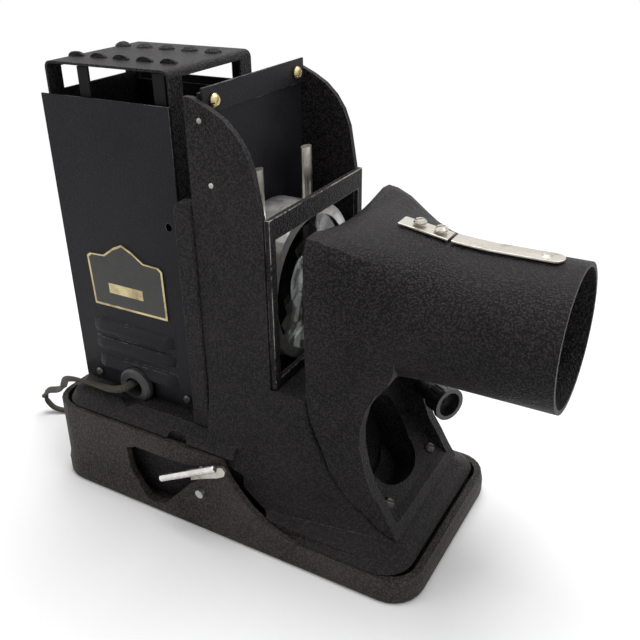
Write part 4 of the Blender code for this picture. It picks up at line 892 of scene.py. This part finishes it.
    def build(self, palette: Palette) -> None:
        """Lay the lead and set its plug.

        Args:
            palette: the finishes.
        """
        points = self.smooth(self.route())[:-1] + self.coil()
        plug = soften("lead_plug", 0.0004, palette.plug, Body.BASE, 2)
        plug.data.materials.append(palette.brass)
        prongs = self.coil_x - self.width - self.plug_body
        for polygon in plug.data.polygons:
            polygon.material_index = 1 if polygon.center.x < prongs else 0
        item = settle(self.tube(points), "lamp_lead_braided", Body.BASE, palette.lead, 80.0)
        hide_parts("lamp_lead", "lead_coil")


@dataclass
class BaseAssembly:
    """Base casting with its hinge pin and the tilt lever."""

    edge: float = 0.0006

    def build(self, palette: Palette) -> None:
        """Dress the base and the lever.

        Args:
            palette: the finishes.
        """
        soften("base_casting", self.edge, palette.base, Body.BASE, edge=palette.base_edge)
        dress("tilt_pin", palette.steel)
        dress("lift_crank", palette.steel)
        soften("tilt_lever", 0.0002, palette.nickel, Body.LEVER)
        dress("lever_rod", palette.chrome)


@dataclass
class BodyAssembly:
    """Lower casting, its rails, the partition and the gate frame."""

    rivet_radius: float = 0.0011
    rivet_rise: float = 0.0006
    plate_y: float = 0.0380

    def rivet(self, name: str, x: float, z: float, palette: Palette) -> None:
        """Set a small round rivet head on the near arch plate.

        Args:
            name: the piece's name.
            x: its place along the projector.
            z: its height.
            palette: the finishes.
        """
        bm = bmesh.new()
        bmesh.ops.create_uvsphere(bm, u_segments=16, v_segments=10, radius=self.rivet_radius)
        bmesh.ops.bisect_plane(bm, geom=bm.verts[:] + bm.edges[:] + bm.faces[:], plane_co=(0, 0, 0),
                               plane_no=(0, 0, 1), clear_inner=True)
        bmesh.ops.holes_fill(bm, edges=[edge for edge in bm.edges if edge.is_boundary])
        bmesh.ops.scale(bm, vec=(1, 1, self.rivet_rise / self.rivet_radius), verts=bm.verts)
        bmesh.ops.rotate(bm, matrix=Matrix.Rotation(math.radians(90), 3, "X"), verts=bm.verts)
        bmesh.ops.translate(bm, vec=(x, -self.plate_y, z), verts=bm.verts)
        settle(bm, name, Body.HEAD, palette.steel)

    def build(self, palette: Palette) -> None:
        """Dress the lower body.

        Args:
            palette: the finishes.
        """
        soften("body_casting", 0.0004, palette.body, Body.HEAD, edge=palette.body_edge,
               tool=AirHole().tool())
        soften("gate_frame", 0.0003, palette.body, Body.HEAD, edge=palette.body_edge)
        for rail in ("rail_left", "rail_right"):
            soften(rail, 0.0012, palette.body, Body.HEAD, 3)
        soften("partition", 0.0002, palette.panel, Body.HEAD)
        soften("partition_strip", 0.0002, palette.panel, Body.HEAD, edge=palette.panel_edge)
        for screw in ("strip_screw_left", "strip_screw_right"):
            dress(screw, palette.brass)
        dress("cord_grommet", palette.grommet)
        self.rivet("arch_rivet_high", 0.0035, 0.1840, palette)
        self.rivet("arch_rivet_low", 0.0066, 0.1606, palette)


@dataclass
class NoseAssembly:
    """Snout casting with its focus spring, screws and knob."""

    edge: float = 0.0004

    def build(self, palette: Palette) -> None:
        """Dress the nose.

        Args:
            palette: the finishes.
        """
        soften("nose_casting", self.edge, palette.body, Body.HEAD, edge=palette.body_edge,
               tool=AirHole().tool())
        soften("spring_clamp", 0.0002, palette.nickel, Body.HEAD)
        soften("focus_spring", 0.0002, palette.nickel, Body.LEAF)
        for screw in ("spring_screw_rear", "spring_screw_front"):
            dress(screw, palette.nickel)
        for screw in ("foot_screw_left", "foot_screw_right"):
            dress(screw, palette.dark_steel)
        soften("knob", 0.0002, palette.knob, Body.KNOB)
        dress("knob_shaft", palette.steel)


@dataclass
class LamphouseAssembly:
    """Lamphouse cover with its louvred side panels and the bare plate."""

    panel_y: float = 0.0290
    plate_rise: float = 0.0006
    border: float = 0.0011
    skin: float = 0.00006

    def plate(self, palette: Palette) -> None:
        """Set the bare plate with its raised border on the near panel.

        Args:
            palette: the finishes.
        """
        corners = [(-0.0719, 0.1154), (-0.0700, 0.1168), (-0.0620, 0.1172), (-0.0558, 0.1215),
                   (-0.0507, 0.1238), (-0.0456, 0.1215), (-0.0392, 0.1172), (-0.0310, 0.1168),
                   (-0.0292, 0.1154), (-0.0289, 0.0923), (-0.0709, 0.0919)]
        self.layer("bare_plate", corners, 0.0, self.plate_rise, palette.brass)
        self.layer("bare_plate_field", corners, self.border, self.plate_rise + self.skin,
                   palette.plate)
        bar = [(-0.0610, 0.1040), (-0.0415, 0.1040), (-0.0415, 0.0992), (-0.0610, 0.0992)]
        self.layer("bare_plate_bar", bar, 0.0, self.plate_rise + self.skin * 2, palette.brass)

    def layer(self, name: str, corners: list[tuple[float, float]], inset: float, rise: float,
              material: bpy.types.Material) -> None:
        """Raise one layer of the plate off the near panel.

        Args:
            name: the piece's name.
            corners: the layer's outline as (x, z).
            inset: how far the layer keeps inside that outline.
            rise: how far its face stands off the panel.
            material: the finish.
        """
        bm = bmesh.new()
        wide, tall = [[corner[axis] for corner in corners] for axis in (0, 1)]
        middle_x, middle_z = (min(wide) + max(wide)) / 2, (min(tall) + max(tall)) / 2
        share_x = 1 - 2 * inset / (max(wide) - min(wide))
        share_z = 1 - 2 * inset / (max(tall) - min(tall))
        inner = [(middle_x + (x - middle_x) * share_x, middle_z + (z - middle_z) * share_z)
                 for x, z in corners]
        face = outline_face(bm, inner, -self.panel_y - self.skin)
        raise_face(bm, face, Vector((0, -rise, 0)))
        settle(bm, name, Body.LAMPHOUSE, material)

    def build(self, palette: Palette) -> None:
        """Dress the lamphouse.

        Args:
            palette: the finishes.
        """
        soften("lamphouse_shell", 0.00025, palette.body, Body.LAMPHOUSE,
               edge=palette.body_edge)
        for side in ("right", "left"):
            soften("side_panel_" + side, 0.00025, palette.panel, Body.LAMPHOUSE,
                   edge=palette.panel_edge)
            soften("liner_" + side, 0.0002, palette.inside, Body.LAMPHOUSE)
            for end in ("rear", "front"):
                dress("panel_screw_" + side + "_" + end, palette.dark_steel)
        self.plate(palette)


@dataclass
class OpticsAssembly:
    """Lamp, reflector and condenser."""

    def build(self, palette: Palette) -> None:
        """Dress the optics.

        Args:
            palette: the finishes.
        """
        dress("lamp_socket", palette.ceramic)
        dress("lamp_base", palette.brass)
        dress("lamp_bulb", palette.glass)
        dress("reflector", palette.mirror)
        dress("reflector_post", palette.steel)
        dress("condenser_barrel", palette.aluminium)
        dress("rear_lens", palette.glass)
        dress("front_lens", palette.glass)
        dress("post_left", palette.nickel)
        dress("post_right", palette.nickel)


@dataclass
class Studio:
    """Camera, floor and lamps."""

    lens: float = 44.857
    shift_x: float = 0.02846
    shift_y: float = -0.00732
    place: tuple[float, float, float] = (0.1795, -0.2625, 0.2500)
    right: tuple[float, float, float] = (0.86189, 0.50653, -0.02384)
    down: tuple[float, float, float] = (0.21175, -0.40222, -0.89072)
    ahead: tuple[float, float, float] = (-0.46076, 0.76266, -0.45392)

    def camera(self) -> None:
        """Set the camera where the photograph was taken from."""
        data = bpy.data.cameras.new("photo_camera")
        data.lens = self.lens
        data.sensor_width = 36.0
        data.shift_x = self.shift_x
        data.shift_y = self.shift_y
        data.clip_start = 0.01
        camera = bpy.data.objects.new("photo_camera", data)
        bpy.context.scene.collection.objects.link(camera)
        turn = Matrix((Vector(self.right), -Vector(self.down), -Vector(self.ahead))).transposed()
        camera.matrix_world = Matrix.Translation(self.place) @ turn.to_4x4()
        bpy.context.scene.camera = camera

    def floor(self) -> None:
        """Lay a pale floor that shows white to the camera and keeps the shadow."""
        bm = bmesh.new()
        bmesh.ops.create_grid(bm, x_segments=2, y_segments=2, size=4.0)
        mesh = bpy.data.meshes.new("floor")
        bm.to_mesh(mesh)
        bm.free()
        item = bpy.data.objects.new("floor", mesh)
        bpy.context.scene.collection.objects.link(item)
        made, sheet, shader = open_material("pale_floor")
        shader.inputs["Base Color"].default_value = (0.92, 0.92, 0.92, 1.0)
        shader.inputs["Roughness"].default_value = 0.9
        shader.inputs["Specular IOR Level"].default_value = 0.0
        length = sheet.add("ShaderNodeVectorMath", operation="LENGTH")
        sheet.join(sheet.place(), length.inputs[0])
        white = sheet.add("ShaderNodeEmission")
        white.inputs["Color"].default_value = (1.0, 1.0, 1.0, 1.0)
        mixed = sheet.add("ShaderNodeMixShader")
        sheet.join(sheet.spread(length.outputs["Value"], 0.18, 0.50), mixed.inputs[0])
        sheet.join(shader.outputs[0], mixed.inputs[1])
        sheet.join(white.outputs[0], mixed.inputs[2])
        sheet.join(mixed.outputs[0], made.node_tree.nodes["Material Output"].inputs["Surface"])
        mesh.materials.append(made)

    def world(self) -> None:
        """Light evenly from all round, and show white behind the object."""
        world = bpy.data.worlds.new("soft_room")
        world.use_nodes = True
        bpy.context.scene.world = world
        sheet = NodeSheet(world.node_tree)
        background = world.node_tree.nodes["Background"]
        background.inputs["Color"].default_value = (1.0, 1.0, 1.0, 1.0)
        rays = sheet.add("ShaderNodeLightPath")
        seen = sheet.math("MAXIMUM", rays.outputs["Is Camera Ray"], rays.outputs["Is Transmission Ray"])
        seen = sheet.math("MAXIMUM", seen, rays.outputs["Is Glossy Ray"])
        sheet.join(sheet.spread(seen, 0.0, 1.0, 0.35, 1.0), background.inputs["Strength"])

    def lamp(self, name: str, place: tuple[float, float, float], power: float, size: float) -> None:
        """Hang one soft lamp that faces the object.

        Args:
            name: the lamp's name.
            place: where it hangs.
            power: its strength in watts.
            size: its width.
        """
        data = bpy.data.lights.new(name, "AREA")
        data.energy = power
        data.size = size
        item = bpy.data.objects.new(name, data)
        bpy.context.scene.collection.objects.link(item)
        item.location = place
        item.rotation_mode = "QUATERNION"
        item.rotation_quaternion = (Vector((0, 0, 0.1)) - Vector(place)).to_track_quat("-Z", "Y")

    def build(self) -> None:
        """Set up the studio."""
        self.camera()
        self.floor()
        self.world()
        self.lamp("lamp_above", (0.0, 0.25, 1.1), 13.0, 0.9)
        self.lamp("lamp_left", (-0.8, -0.6, 0.7), 2.5, 0.7)
        self.lamp("lamp_right", (0.9, -0.2, 0.7), 2.5, 0.6)
        bpy.context.scene.view_settings.view_transform = "Standard"


def main() -> None:
    """Build the looks and report each piece."""
    palette = Palette()
    Studio().build()
    CordAssembly().build(palette)
    BaseAssembly().build(palette)
    BodyAssembly().build(palette)
    NoseAssembly().build(palette)
    LamphouseAssembly().build(palette)
    OpticsAssembly().build(palette)


if __name__ == "__main__":
    main()
